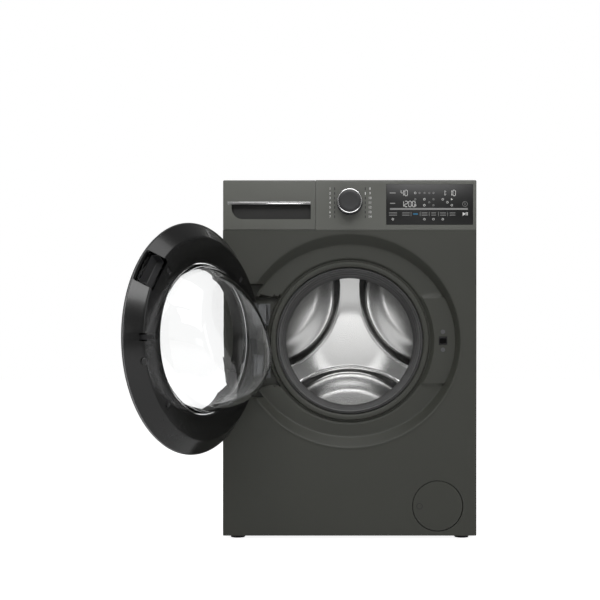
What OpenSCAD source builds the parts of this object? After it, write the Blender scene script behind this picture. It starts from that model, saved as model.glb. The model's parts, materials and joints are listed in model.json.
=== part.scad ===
// Front load washing machine, freestanding, door on the left-hand hinge and shown open.
// Frame: X to the right seen from the front, Y into the machine, Z up.
// Origin: floor level, at the centre of the four feet, which is the middle of the cabinet.

/* [Cabinet] */
// Width of the cabinet
cab_w = 600; // [598:1:602]
// Height from the floor to the worktop
cab_h = 850; // [848:1:853]
// Depth of the cabinet without the door
cab_d = 550; // [548:1:556]
// Thickness of the sheet steel
sheet = 1.2; // [0.8:0.1:1.4]
// Height of the control fascia
fascia_h = 118; // [116:1:120]
// Depth of the moulded fascia
fascia_d = 24; // [23:0.5:24.5]

/* [Feet] */
// Clear height under the cabinet
foot_h = 9; // [8:0.5:12]
// Radius of a foot pad
foot_r = 17; // [14:0.5:19]
// Distance between the feet, left to right
foot_dx = 536; // [530:1:540]
// Distance between the feet, front to back
foot_dy = 468; // [460:1:468]

/* [Porthole] */
// Height of the drum axis above the floor
axis_z = 470; // [468:1:472]
// Radius of the pressed recess around the door
recess_r = 258; // [257.5:0.5:259]
// Depth of the pressed recess
recess_d = 24; // [23.5:0.5:25]
// Radius of the panel's rolled mouth
mouth_r = 177; // [176:0.5:179]

/* [Door] */
// Widest radius of the door
door_r = 252; // [250:0.5:253]
// Radius of the door's clear window
window_r = 166; // [165:0.5:167]
// Angle at which the door stands open
door_open = 117; // [0:1:150]
// Hinge axis, distance left of the drum axis
hinge_x = 223; // [222:0.5:224]
// Height of each hinge knuckle above or below the drum axis
hinge_z = 63; // [60:1:66]

/* [Drum and tub] */
// Outer radius of the drum
drum_r = 240; // [232:1:242]
// Depth of the drum
drum_d = 295; // [285:1:296]
// Radius of the drum's mouth
drum_mouth_r = 160; // [158:1:163]
// Outer radius of the tub
tub_r = 268; // [266:1:270]
// Pitch radius of the drum pulley
pulley_r = 140; // [136:1:142]
// Pitch radius of the motor pulley
motor_pulley_r = 10; // [9.5:0.5:11]

/* [Controls] */
// Width of the touch panel
touch_w = 205; // [190:1:206]
// Height of the touch panel
touch_h = 96; // [80:1:97]
// Radius of the programme knob
knob_r = 30.5; // [26:0.5:32]
// How far the knob stands out
knob_out = 28; // [20:1:32]

/* [Drawer and filter] */
// Width of the drawer tray
tray_w = 188; // [180:1:189]
// Depth of the drawer tray
tray_d = 195; // [180:1:196]
// Radius of the filter flap
flap_r = 58.6; // [57:0.2:58.8]

/* [Hidden] */
$fn = 96;

gap = 0.3;              // clearance between neighbouring bodies
fit = 0.05;             // radial clearance of a running fit
front_y = -cab_d / 2;   // the plane of the front panel
back_y = cab_d / 2;
side_x = cab_w / 2;
top_z = cab_h;
seam_z = cab_h - fascia_h;          // top edge of the front panel
under_top_z = cab_h - 20;           // underside of the worktop
rear_panel_y = back_y - 20;         // the rear panel is set in from the side panels' edges
drawer_x0 = -side_x + 0.5;          // left end of the drawer front
drawer_x1 = -81.3;                  // right end of the drawer front
tray_x0 = -284;
tray_x1 = tray_x0 + tray_w;
tray_z0 = 748;
tray_z1 = 808;
knob_z = 797;
touch_x0 = 86.5;
touch_z0 = 744;
filter_x = 208;
filter_z = 79;
lock_x = 222;
lock_y = recess_d - 5;              // the lock's pad is raised from the recess floor
lock_screw_dz = 21.4;
pocket_h = 118;                     // half height of the hinge pocket
pocket_d = 38;
pocket_x = -188;
edge_y = -15;                       // plane of the door's widest circle, from the front plane
door_front_y = -27;
door_back_y = 15;
door_back_r = 222;
bowl_d = 116;                       // deepest point of the glass, from the front plane
drum_y = 135;                       // front of the drum, from the front plane
tub_y = 100;
tub_split_y = 230;
tub_back_y = 462;
motor_x = -70;
motor_z = 130;
motor_r = 60;
pulley_y = 476;
pulley_w = 18;
support_ys = [-20, 110];            // springs and dampers, front and rear pair
spring_x = 230;
damper_x = 200;
damper_bore_r = 10;
sump_x = 150;
sump_y = -140;
fill_x = -150;
fill_y = -70;

// A box between two corners given from the front plane
module block(x0, x1, y0, y1, z0, z1) {
    translate([x0, front_y + y0, z0]) cube([x1 - x0, y1 - y0, z1 - z0]);
}

// A cylinder along Y between two depths behind the front plane
module rod_y(r, y0, y1, x = 0, z = axis_z) {
    translate([x, front_y + y0, z]) rotate([-90, 0, 0]) cylinder(r = r, h = y1 - y0);
}

module tube_y(ro, ri, y0, y1, x = 0, z = axis_z) {
    difference() {
        rod_y(ro, y0, y1, x, z);
        rod_y(ri, y0 - 1, y1 + 1, x, z);
    }
}

module tube_z(ro, ri, z0, z1) {
    difference() {
        translate([0, 0, z0]) cylinder(r = ro, h = z1 - z0);
        translate([0, 0, z0 - 1]) cylinder(r = ri, h = z1 - z0 + 2);
    }
}

// A ring turned about the drum axis from [radius, depth] points
module turned(points, x = 0, z = axis_z) {
    translate([x, front_y, z]) rotate([-90, 0, 0]) rotate_extrude($fn = 144) polygon(points);
}

// Places children drawn on the closed door at the angle at which the door stands open
module on_door() {
    translate([-hinge_x, front_y, 0]) rotate([0, 0, -door_open]) translate([hinge_x, -front_y, 0])
        children();
}

module at_feet() {
    for (x = [-1, 1], y = [-1, 1]) translate([x * foot_dx / 2, y * foot_dy / 2, 0]) children();
}

module at_supports(x) {
    for (side = [-1, 1], y = support_ys) translate([side * x, y, 0]) children();
}

// ---------- cabinet ----------

module side_panel() {
    panel_y0 = 16;
    height = under_top_z - gap - foot_h;
    translate([0, 0, foot_h]) linear_extrude(height) union() {
        translate([-side_x, front_y + panel_y0]) square([sheet, cab_d - panel_y0]);
        translate([-side_x, front_y + panel_y0]) square([14, sheet]);
        translate([-side_x, back_y - sheet]) square([18, sheet]);
    }
}

module left_side_panel() {
    color("darkolivegreen") side_panel();
}

module right_side_panel() {
    color("darkolivegreen") mirror([1, 0, 0]) side_panel();
}

// The space of the recess, the groove and the mouth, grown by one sheet thickness for its outside
module recess_space(grow) {
    slope = 12;
    turned([[0, -1], [recess_r + grow, -1], [recess_r + grow, 0],
        [recess_r - slope + grow, recess_d + grow], [196 + grow, recess_d + grow],
        [196 + grow, recess_d + 4 + grow], [188 - grow, recess_d + 4 + grow],
        [188 - grow, recess_d + grow], [0, recess_d + grow]]);
}

// Raised pad in the recess, level with the lock
module lock_pad() {
    intersection() {
        tube_y(recess_r, 199, lock_y, recess_d + 1);
        block(150, side_x, lock_y, recess_d + 1, axis_z - 101, axis_z + 101);
    }
}

module hinge_pocket_space(grow) {
    block(-257.5 - grow, pocket_x + grow, -1, 26 + grow, axis_z - 135 - grow, axis_z + 135 + grow);
    intersection() {
        rod_y(recess_r - 0.1 + grow, -1, pocket_d + grow);
        block(-side_x, pocket_x + grow, -1, pocket_d + grow,
            axis_z - pocket_h - grow, axis_z + pocket_h + grow);
    }
}

module front_panel() {
    color("darkolivegreen") difference() {
        union() {
            block(-side_x, side_x, 0, sheet, foot_h, seam_z - 0.5);
            block(-side_x, -side_x + sheet, 0, 15, foot_h, seam_z - 0.5);
            block(side_x - sheet, side_x, 0, 15, foot_h, seam_z - 0.5);
            block(-side_x, side_x, 0, 15, foot_h, foot_h + sheet);
            intersection() {
                recess_space(sheet);
                block(-side_x, side_x, 0, 60, foot_h, seam_z - 0.5);
            }
            hinge_pocket_space(sheet);
            rod_y(mouth_r + sheet, recess_d, 34);
        }
        difference() {
            recess_space(0);
            lock_pad();
        }
        block(lock_x - 19, lock_x + 19, lock_y + sheet, 40, axis_z - 35, axis_z + 35);
        hinge_pocket_space(0);
        rod_y(mouth_r, 0, 60);
        rod_y(60.5, -1, 5, filter_x, filter_z);
        block(lock_x - 10, lock_x + 10, 0, 40, axis_z - 10, axis_z + 10);
        block(-side_x - 1, side_x + 1, -5, 0, 0, cab_h);
    }
}

module rear_panel() {
    color("silver") difference() {
        block(-side_x + 3, side_x - 3, cab_d - 20, cab_d - 20 + sheet, foot_h + 25, under_top_z - gap);
        rod_y(168, cab_d - 30, cab_d);
        rod_y(14, cab_d - 30, cab_d, -200, 790);
        rod_y(11, cab_d - 30, cab_d, 230, 120);
        rod_y(10, cab_d - 30, cab_d, 230, 790);
        for (x = [-120, 120], z = [250, 700]) rod_y(11, cab_d - 30, cab_d, x, z);
    }
}

// A shallow pressed dish over the service opening
module rear_access_cover() {
    y = cab_d - 20 + sheet;
    color("silver") turned([[0, y + 8], [150, y + 8], [162, y], [182, y], [182, y + 1.2], [162.6, y + 1.2],
        [150.6, y + 9.2], [0, y + 9.2]]);
}

module base_tray() {
    wall = 3;
    color("dimgray") difference() {
        union() {
            difference() {
                block(-side_x + 3, side_x - 3, 17.5, cab_d - 20, foot_h + 1.5, 45);
                block(-side_x + 3 + wall, side_x - 3 - wall, 17.5 + wall, cab_d - 20 - wall, 14, 60);
            }
            at_feet() translate([0, 0, foot_h + 1.5]) cylinder(r = 20, h = 20);
            for (x = [-120, 0, 120]) block(x, x + wall, 230, cab_d - 21, 12, 30);
        }
        at_feet() translate([0, 0, 0]) cylinder(r = 6 + fit, h = 60);
        block(filter_x - 61, filter_x + 61, 0, 34, 18.9, 60);
    }
}

module worktop() {
    color("darkolivegreen") difference() {
        block(-side_x, side_x, fascia_d + gap, cab_d, under_top_z, top_z);
        block(-side_x + 12, side_x - 12, fascia_d + 12, cab_d - 12, under_top_z - 1, under_top_z + 3);
    }
}

// Two channels across the cabinet that carry the springs
module top_braces() {
    color("silver") for (y = support_ys) {
        difference() {
            translate([-side_x + 2, y - 12, 817]) cube([cab_w - 4, 24, 12.6]);
            translate([-side_x + 1, y - 10.5, 818.5]) cube([cab_w - 2, 21, 20]);
        }
        for (side = [-1, 1]) translate([side * spring_x, y, 799]) cylinder(r = 7, h = 18);
    }
}

module control_fascia() {
    wall = 2.5;
    color("dimgray") difference() {
        union() {
            difference() {
                block(-80.6, side_x, 0, fascia_d, seam_z, top_z);
                block(-80.6 + wall, side_x - wall, 3, fascia_d + 1, seam_z + wall, top_z - wall);
            }
            block(-side_x + 1.6, -80, 21.2, fascia_d, seam_z, top_z);
            tube_y(14, 6, 0.5, 13.5, 0, knob_z);
        }
        block(side_x - 14.5, side_x + 1, 15.7, 40, seam_z - 1, under_top_z);
        block(touch_x0 - 0.3, touch_x0 + touch_w + 0.3, -1, 5, touch_z0 - 0.3, touch_z0 + touch_h + 0.3);
        block(tray_x0 - 3, tray_x1 + 3, 20, 30, tray_z0 - 3, tray_z1 + 4);
        rod_y(6, -1, 30, 0, knob_z);
    }
}

module touch_panel() {
    color("black") block(touch_x0, touch_x0 + touch_w, 0, 3.5, touch_z0, touch_z0 + touch_h);
}

// Display board behind the touch panel and the knob's encoder with its shaft
module control_board() {
    color("green") {
        block(-40, 285, 14, 15.6, 750, 836);
        block(120, 260, 3.8, 14, 765, 825);
        block(20, 50, 15.6, 23, 755, 785);
        rod_y(5.5, 3, 14, 0, knob_z);
        rod_y(3, -14, 4, 0, knob_z);
    }
}

module dispenser_housing() {
    x0 = tray_x0 - 6.5;
    x1 = tray_x1 + 6.5;
    color("lightgray") difference() {
        union() {
            block(x0, x1, fascia_d + gap, 225, tray_z0 - 5.5, tray_z1 + 7);
            translate([fill_x, fill_y, 728]) cylinder(r = 15, h = 16);
            rod_y(8, 224, 236, -200, 790);
        }
        block(x0 + 2.5, x1 - 2.5, fascia_d - 1, 222.5, tray_z0 - 3, tray_z1 + 4.5);
        translate([fill_x, fill_y, 720]) cylinder(r = 12.5, h = 40);
        rod_y(5, 215, 240, -200, 790);
    }
}

module inlet_valve() {
    color("white") {
        difference() {
            union() {
                rod_y(13.2, cab_d - 20, cab_d + 16, -200, 790);
                rod_y(17, cab_d - 24, cab_d - 20.2, -200, 790);
                rod_y(11, cab_d - 60, cab_d - 24, -200, 790);
            }
            rod_y(9, cab_d - 10, cab_d + 20, -200, 790);
        }
        block(-212, -188, cab_d - 55, cab_d - 30, 795, 814);
        rod_y(7, cab_d - 74, cab_d - 60, -200, 790);
    }
}

module inlet_hose() {
    color("black") tube_y(11, 8.2, 226, cab_d - 60.2, -200, 790);
}

// Solenoid lock behind the panel, with a slot for the hook
module door_lock() {
    color("dimgray") difference() {
        block(lock_x - 17, lock_x + 17, lock_y + sheet, 56, axis_z - 32, axis_z + 32);
        block(lock_x - 11, lock_x + 11, lock_y, 50, axis_z - 11, axis_z + 11);
    }
}

// Two steel goosenecks screwed into the hinge pocket
module hinge_bracket() {
    half = 22;
    color("silver") for (side = [-1, 1]) translate([0, 0, side * hinge_z]) difference() {
        union() {
            translate([-hinge_x, front_y, axis_z - half]) cylinder(r = 8, h = 2 * half);
            block(-hinge_x, -hinge_x + 26, -3, 3, axis_z - half, axis_z + half);
            block(-hinge_x + 20, -hinge_x + 26, -3, pocket_d - 3, axis_z - half, axis_z + half);
            block(-hinge_x + 8, -hinge_x + 33, pocket_d - 3, pocket_d, axis_z - half - 4, axis_z + half + 4);
        }
        translate([-hinge_x, front_y, axis_z - half - 1]) cylinder(r = 4 + fit, h = 2 * half + 2);
    }
}

// Filter recess, filter tube, volute and pump motor in one moulding
module pump_body() {
    color("dimgray") difference() {
        union() {
            tube_y(59.5, 57.5, 16, 32, filter_x, filter_z);
            tube_y(59.5, 33, 30, 32, filter_x, filter_z);
            rod_y(34, 30, 120, filter_x, filter_z);
            rod_y(44, 120, 150, filter_x, filter_z);
            rod_y(26, 150, 205, filter_x, filter_z);
            block(sump_x - 18, filter_x, 122, 148, filter_z - 12, filter_z + 20);
            translate([sump_x, sump_y, filter_z + 10]) cylinder(r = 18, h = 30);
            rod_y(10, 140, 175, filter_x + 40, filter_z + 10);
        }
        rod_y(30.5, 0, 121, filter_x, filter_z);
        rod_y(40, 123, 147, filter_x, filter_z);
        rod_y(22, 119, 124, filter_x, filter_z);
        translate([sump_x, sump_y, filter_z]) cylinder(r = 11, h = 50);
        block(sump_x - 8, filter_x - 30, 126, 144, filter_z - 8, filter_z + 14);
        rod_y(7, 130, 180, filter_x + 40, filter_z + 10);
        rod_y(3 + fit, 130, 175, filter_x, filter_z);
    }
}

// Outer shape of the four coil springs
module suspension_springs() {
    color("silver") at_supports(spring_x) tube_z(12, 8, 638.5, 806);
}

module damper_tubes() {
    color("gray") at_supports(damper_x) difference() {
        translate([0, 0, 14]) cylinder(r = 14, h = 186);
        translate([0, 0, 60]) cylinder(r = damper_bore_r, h = 128);
        translate([0, 0, 60]) cylinder(r = 4.6, h = 200);
    }
}

module sump_hose() {
    color("black") translate([sump_x, sump_y, 0]) tube_z(22, 18.4, 104, 233.5);
}

module fill_hose() {
    color("black") translate([fill_x, fill_y, 0]) tube_z(18.4, 15.4, 713, 742);
}

// Internal drain pipe from the pump to the spigot at the back
module drain_pipe() {
    px = filter_x + 40;
    pz = filter_z + 10;
    color("gray") {
        tube_y(13.5, 10.3, 152, 440, px, pz);
        difference() {
            union() {
                rod_y(13.5, 440, 446, px, pz);
                translate([px, front_y + 456, pz]) sphere(r = 17);
                rod_y(10, 456, cab_d + 12, 230, 120);
                translate([px - 9, front_y + 450, pz + 15]) rotate([0, -30, 0]) cylinder(r = 9, h = 18);
                rod_y(15, 500, 528, 230, 120);
            }
            rod_y(6.5, 470, cab_d + 13, 230, 120);
        }
    }
}

// Bellows between the panel's mouth and the tub's mouth
module door_gasket() {
    color("dimgray") turned([[165.5, 24], [171, 21], [176.5, 26], [176.5, 38], [181, 38], [181, 44],
        [172, 46], [170, 56], [182, 66], [182, 78], [170, 84], [170, 90], [184, 98], [184, 106], [170, 106],
        [158, 131], [156.5, 129], [161.5, 108], [161, 92], [160.5, 78], [172, 73], [160.5, 62],
        [162, 44], [168, 40], [169, 34]]);
}

module transit_caps() {
    color("dimgray") for (x = [-120, 120], z = [250, 700]) {
        rod_y(16, cab_d - 20 + sheet, cab_d - 14, x, z);
        rod_y(10.5, cab_d - 30, cab_d - 18, x, z);
    }
}

// Screws of the lock, the hinge, the service cover and the worktop
module case_screws() {
    color("silver") {
        for (side = [-1, 1]) {
            rod_y(5.2, lock_y - 2, lock_y, lock_x, axis_z + side * lock_screw_dz);
            for (dz = [-14, 14])
                rod_y(4, pocket_d - 5, pocket_d - 3, -hinge_x + 14, axis_z + side * hinge_z + dz);
            rod_y(5, cab_d - 18.6, cab_d - 15.6, side * 280, 815);
            rod_y(5, cab_d - 18.6, cab_d - 15.6, side * 280, 60);
        }
        for (a = [30:60:330])
            rod_y(4, cab_d - 17.6, cab_d - 14.6, 174 * cos(a), axis_z + 174 * sin(a));
    }
}

// Strain-relief seat where the mains lead enters
module cord_gland() {
    color("black") difference() {
        union() {
            rod_y(14, cab_d - 20 + sheet, cab_d - 10, 230, 790);
            rod_y(9.7, cab_d - 40, cab_d - 12, 230, 790);
        }
        rod_y(4.2, cab_d - 45, cab_d, 230, 790);
    }
}

module foot_locknuts() {
    color("silver") at_feet() difference() {
        translate([0, 0, 30.5]) cylinder(r = 10.5, h = 6, $fn = 6);
        translate([0, 0, 29]) cylinder(r = 6.2, h = 10);
    }
}

// ---------- tub ----------

module tub_front() {
    color("whitesmoke") difference() {
        union() {
            rod_y(tub_r, tub_y, tub_split_y);
            rod_y(tub_r + 8, tub_split_y - 14, tub_split_y);
            translate([fill_x, fill_y, 680]) cylinder(r = 15, h = 38);
            translate([sump_x, sump_y, 214]) cylinder(r = 18, h = 44);
        }
        rod_y(tub_r - 6, tub_y + 5, tub_split_y + 1);
        rod_y(184.5, 50, 150);
        translate([fill_x, fill_y, 600]) cylinder(r = 12, h = 150);
        translate([sump_x, sump_y, 210]) cylinder(r = 14, h = 90);
    }
}

module tub_rear() {
    color("whitesmoke") difference() {
        union() {
            rod_y(tub_r, tub_split_y + gap, tub_back_y);
            rod_y(tub_r + 8, tub_split_y + gap, tub_split_y + 14);
            rod_y(45, 440, tub_back_y + 6);
            at_supports(spring_x) translate([0, 0, 612]) cube([30, 24, 52], center = true);
            at_supports(damper_x) translate([0, 0, 289]) cube([30, 24, 42], center = true);
            block(motor_x - 35, motor_x + 35, 330, 450, motor_z + motor_r, 240);
            block(-60, 60, tub_split_y + gap, 420, 700, 742);
        }
        difference() {
            rod_y(tub_r - 6, tub_split_y - 1, 452);
            rod_y(45, 451.8, 460);
        }
        rod_y(26, 449, tub_back_y + 7);
        rod_y(17, 430, 480);
        rod_y(26, 430, 449.9 + 4);
        for (x = [-25, 25]) rod_y(6, 440, 480, x, axis_z - 251);
    }
}

module front_counterweight() {
    color("gray") difference() {
        tube_y(262, 205, 63, tub_y);
        block(-60, 60, 50, 110, axis_z - 270, axis_z - 180);
    }
}

module top_counterweight() {
    color("gray") difference() {
        block(-60, 150, tub_split_y + 20, 420, 700, 786);
        rod_y(tub_r, 200, 450);
        block(-61, 61, 200, 450, 699, 742);
    }
}

module motor_housing() {
    color("silver") {
        difference() {
            rod_y(motor_r, 330, 460, motor_x, motor_z);
            rod_y(8, 440, 470, motor_x, motor_z);
        }
        block(motor_x - 35, motor_x + 35, 332, 448, motor_z + motor_r - 10, motor_z + motor_r);
    }
}

function arc(r, a0, a1, n) = [for (i = [0:n]) let(a = a0 + (a1 - a0) * i / n) [r * cos(a), r * sin(a)]];

// Outline of a belt run round both pulleys, drawn with the drum pulley at the origin
function belt_outline(grow) =
    let(dx = motor_x, dz = motor_z - axis_z, span = norm([dx, dz]), along = atan2(dz, dx),
        wrap = acos((pulley_r - motor_pulley_r) / span))
    concat(arc(pulley_r + grow, along + wrap, along + 360 - wrap, 60),
        [for (p = arc(motor_pulley_r + grow, along - wrap, along + wrap, 16)) p + [dx, dz]]);

module drive_belt() {
    color("black") translate([0, front_y + pulley_y + 15, axis_z]) rotate([90, 0, 0])
        linear_extrude(12) difference() {
            polygon(belt_outline(4));
            polygon(belt_outline(0.9));
        }
}

module drum_bearings() {
    color("silver") {
        tube_y(25.9, 15, 454, 461, 0, axis_z);
        tube_y(25.9, 15, 463, 468, 0, axis_z);
    }
}

module heater() {
    color("silver") {
        for (x = [-25, 25]) rod_y(3.5, 300, 474, x, axis_z - 251);
        block(-25, 25, 296, 300, axis_z - 254, axis_z - 248);
        for (x = [-25, 25]) rod_y(9, tub_back_y, tub_back_y + 4, x, axis_z - 251);
    }
}

module damper_rods() {
    color("silver") at_supports(damper_x) {
        translate([0, 0, 120]) cylinder(r = 4, h = 148);
        translate([0, 0, 115]) cylinder(r = damper_bore_r - fit, h = 24);
    }
}

// ---------- drum ----------

module drum_shell() {
    y1 = drum_y + drum_d;
    color("lightgray") turned([[drum_mouth_r, drum_y - 2], [drum_mouth_r + 2, drum_y - 2],
        [drum_mouth_r + 4, drum_y], [drum_r - 12, drum_y], [drum_r, drum_y + 12], [drum_r, y1],
        [drum_r - 1.2, y1], [drum_r - 1.2, drum_y + 12.5], [drum_r - 12.5, drum_y + 1.2],
        [drum_mouth_r + 3.5, drum_y + 1.2], [drum_mouth_r + 1, drum_y + 6], [drum_mouth_r, drum_y + 6]]);
}

module drum_back() {
    y1 = drum_y + drum_d;
    color("lightgray") turned([[0, y1 - 8], [55, y1 - 8], [75, y1 - 3], [drum_r - 1.3, y1 - 3],
        [drum_r - 1.3, y1], [74, y1], [54, y1 - 6.5], [0, y1 - 6.5]]);
}

module drum_lifters() {
    color("lightgray") for (a = [30, 150, 270]) translate([0, front_y, axis_z]) rotate([0, a, 0])
        translate([0, 150, 0]) difference() {
            intersection() {
                rotate([-90, 0, 0]) cylinder(r = drum_r - 1.4, h = 268);
                translate([0, 0, -drum_r + 4]) rotate([-90, 0, 0]) cylinder(r = 48, h = 268);
            }
            translate([0, 1.5, -drum_r + 4]) rotate([-90, 0, 0]) cylinder(r = 46.5, h = 265);
        }
}

module drum_spider() {
    y1 = drum_y + drum_d;
    color("silver") difference() {
        union() {
            rod_y(36, y1, 446);
            for (a = [0, 120, 240]) translate([0, front_y + y1 + 0.2, axis_z]) rotate([0, a, 0])
                translate([-14, 0, 0]) cube([28, 14, drum_r - 14]);
        }
        rod_y(15, y1 - 1, 450);
    }
}

module drum_shaft() {
    color("silver") {
        rod_y(15 - 0.02, 432, 475.8);
        rod_y(11, 475.8, 502);
    }
}

module drum_pulley() {
    color("silver") difference() {
        union() {
            rod_y(pulley_r + 0.5, pulley_y, pulley_y + pulley_w);
            rod_y(24, pulley_y, pulley_y + pulley_w + 2);
        }
        difference() {
            rod_y(pulley_r - 10, pulley_y - 1, pulley_y + pulley_w + 3);
            rod_y(24, pulley_y - 2, pulley_y + pulley_w + 4);
            for (a = [0:60:300]) translate([0, front_y + pulley_y + 3, axis_z]) rotate([0, a, 0])
                translate([-9, 0, 0]) cube([18, 12, pulley_r - 4]);
        }
        rod_y(11.02, pulley_y - 1, 510);
    }
}

module motor_pulley() {
    color("gray") {
        rod_y(motor_pulley_r + 0.5, pulley_y, pulley_y + pulley_w, motor_x, motor_z);
        rod_y(8 - fit, 442, pulley_y, motor_x, motor_z);
    }
}

// ---------- door ----------

module hinge_slots() {
    block(-hinge_x - 24, -hinge_x + 10, -13, 20, axis_z - 42, axis_z + 42);
    for (side = [-1, 1])
        block(-hinge_x - 24, -hinge_x + 32, -13, 20,
            axis_z + side * hinge_z - 28, axis_z + side * hinge_z + 28);
}

// Front ring of the door with the seat for the glass
module door_outer_ring() {
    color("black") on_door() turned([[window_r - 3, door_front_y + 3], [170, door_front_y],
        [228, door_front_y], [246, door_front_y + 5], [door_r, edge_y - 0.2], [245, edge_y - 0.2],
        [242, -18.5], [227, door_front_y + 3.5], [171, door_front_y + 3.5], [window_r, -21],
        [window_r, 4], [window_r - 3, 4]]);
}

module door_trim_ring() {
    color("silver") on_door() turned([[246, edge_y], [door_r + 1, edge_y], [door_r + 1, edge_y + 2],
        [246, edge_y + 2]]);
}

// Back ring of the door, with slots for the hinge and the hook, and a finger grip
module door_inner_ring() {
    grip_a = 37;
    color("black") on_door() difference() {
        union() {
            turned([[251, edge_y + 2.2], [door_back_r, door_back_y], [window_r, door_back_y],
                [window_r, 12], [220, 12], [244.5, -12.8]]);
            translate([0, front_y, axis_z]) rotate([0, -grip_a, 0]) translate([206, -10, -35])
                cube([22, 20, 70]);
        }
        translate([0, front_y, axis_z]) rotate([0, -grip_a, 0]) translate([209, -7, -32])
            cube([40, 60, 64]);
        hinge_slots();
        block(lock_x - 11, lock_x + 6, 0, 20, axis_z - 8, axis_z + 8);
    }
}

// Clear bowl: a flange in the door, a wall that narrows and a rounded end
module door_glass() {
    color("lightcyan", 0.35) on_door() turned(concat(
        [[177, 5], [177, 11.5], [163, 11.5], [161, 16], [152, 60], [140, 92]],
        [for (a = [20:10:90]) [112 + 24 * cos(a), 92 + 24 * sin(a)]],
        [[0, bowl_d], [0, bowl_d - 5]],
        [for (a = [90:-10:20]) [112 + 19 * cos(a), 92 + 19 * sin(a)]],
        [[135, 91], [147, 59], [157, 14], [157, 5]]));
}

// Knuckle block fixed in the door, with the hinge pin through it
module door_hinge_arm() {
    half = hinge_z - 22 - gap;
    color("silver") on_door() {
        translate([-hinge_x, front_y, axis_z - half]) cylinder(r = 8, h = 2 * half);
        block(-hinge_x, -hinge_x + 30, -4, 4, axis_z - half, axis_z + half);
        block(-hinge_x + 24, -hinge_x + 30, 3.9, 11.9, axis_z - half, axis_z + half);
        translate([-hinge_x, front_y, axis_z - hinge_z - 26]) cylinder(r = 4, h = 2 * hinge_z + 52);
    }
}

// Sprung hook that the lock holds
module latch_hook() {
    color("gray") on_door() {
        translate([lock_x - 3, front_y + 3, axis_z - 5]) cylinder(r = 4, h = 10);
        block(lock_x - 6, lock_x, 3, 36, axis_z - 5, axis_z + 5);
        block(lock_x - 6, lock_x + 4, 31, 36, axis_z - 5, axis_z + 5);
    }
}

// ---------- drawer, knob and filter ----------

module drawer_tray() {
    wall = 2.5;
    y1 = 20 + tray_d;
    walls_x = [tray_x0, tray_x0 + 60, tray_x0 + 124, tray_x1];
    color("lightgray") difference() {
        block(tray_x0, tray_x1, 20.2, y1, tray_z0, tray_z1);
        for (i = [0:2]) block(walls_x[i] + wall, walls_x[i + 1] - (i == 2 ? wall : 0),
            20.2 + wall, y1 - wall, tray_z0 + wall, tray_z1 + 1);
    }
}

// Front of the drawer with the scooped handle
module drawer_front() {
    color("dimgray") difference() {
        block(drawer_x0, drawer_x1, 0, 20, seam_z + 0.5, top_z - 0.5);
        block(drawer_x0 + 3, drawer_x1 - 3, 3, 18, 798, top_z - 3);
        block(-288, -92, -1, 17.5, 753, 793);
        block(-side_x, -side_x + 14.5, 15.7, 21, seam_z, under_top_z);
    }
}

module drawer_trim() {
    color("silver") block(-288, -92, -0.8, -0.1, 792.3, 797.8);
}

module program_knob() {
    color("dimgray") difference() {
        union() {
            rod_y(knob_r, -4, -0.5, 0, knob_z);
            rod_y(knob_r - 3, -knob_out, -4, 0, knob_z);
        }
        rod_y(3 + fit, -15, 0, 0, knob_z);
    }
}

// Round clip-on cover over the filter, with a finger dimple and three clips
module filter_flap() {
    color("darkolivegreen") {
        difference() {
            rod_y(flap_r, 0, 3, filter_x, filter_z);
            rod_y(7, -1, 1.8, filter_x - 42, filter_z);
        }
        for (a = [90, 210, 330]) translate([filter_x, front_y + 2.9, filter_z]) rotate([0, a, 0])
            translate([50, 0, -5]) cube([3, 11, 10]);
    }
}

module filter_cap() {
    color("black") {
        rod_y(30.45, 26, 60, filter_x, filter_z);
        block(filter_x - 24, filter_x + 24, 14, 26.2, filter_z - 4, filter_z + 4);
        difference() {
            rod_y(26, 60, 112, filter_x, filter_z);
            rod_y(22, 61, 113, filter_x, filter_z);
        }
    }
}

module pump_impeller() {
    color("gray") {
        rod_y(3, 132, 170, filter_x, filter_z);
        rod_y(20, 136, 139, filter_x, filter_z);
        for (a = [0:60:300]) translate([filter_x, front_y + 129, filter_z]) rotate([0, a, 0])
            translate([2, 0, -1]) cube([26, 8, 2]);
    }
}

// ---------- feet ----------

module foot(sx, sy) {
    color("black") translate([sx * foot_dx / 2, sy * foot_dy / 2, 0]) {
        cylinder(r = foot_r, h = 7);
        cylinder(r = 11, h = foot_h + 1);
        cylinder(r = 6, h = 42);
    }
}

module front_left_foot() { foot(-1, -1); }
module front_right_foot() { foot(1, -1); }
module rear_left_foot() { foot(-1, 1); }
module rear_right_foot() { foot(1, 1); }

left_side_panel();
right_side_panel();
front_panel();
rear_panel();
rear_access_cover();
base_tray();
worktop();
top_braces();
control_fascia();
touch_panel();
control_board();
dispenser_housing();
inlet_valve();
inlet_hose();
door_lock();
hinge_bracket();
pump_body();
suspension_springs();
damper_tubes();
sump_hose();
fill_hose();
drain_pipe();
door_gasket();
transit_caps();
case_screws();
cord_gland();
foot_locknuts();
tub_front();
tub_rear();
front_counterweight();
top_counterweight();
motor_housing();
drive_belt();
drum_bearings();
heater();
damper_rods();
drum_shell();
drum_back();
drum_lifters();
drum_spider();
drum_shaft();
drum_pulley();
motor_pulley();
door_outer_ring();
door_inner_ring();
door_glass();
door_trim_ring();
door_hinge_arm();
latch_hook();
drawer_tray();
drawer_front();
drawer_trim();
program_knob();
filter_flap();
filter_cap();
pump_impeller();
front_left_foot();
front_right_foot();
rear_left_foot();
rear_right_foot();
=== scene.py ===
"""Finishes and fine modelling for a front load washing machine shown with its door open."""

import json
import logging
import math
from collections.abc import Iterable, Iterator, Sequence
from contextlib import contextmanager
from dataclasses import dataclass, field
from enum import Enum

import bmesh
import bpy
from mathutils import Matrix, Vector


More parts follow.
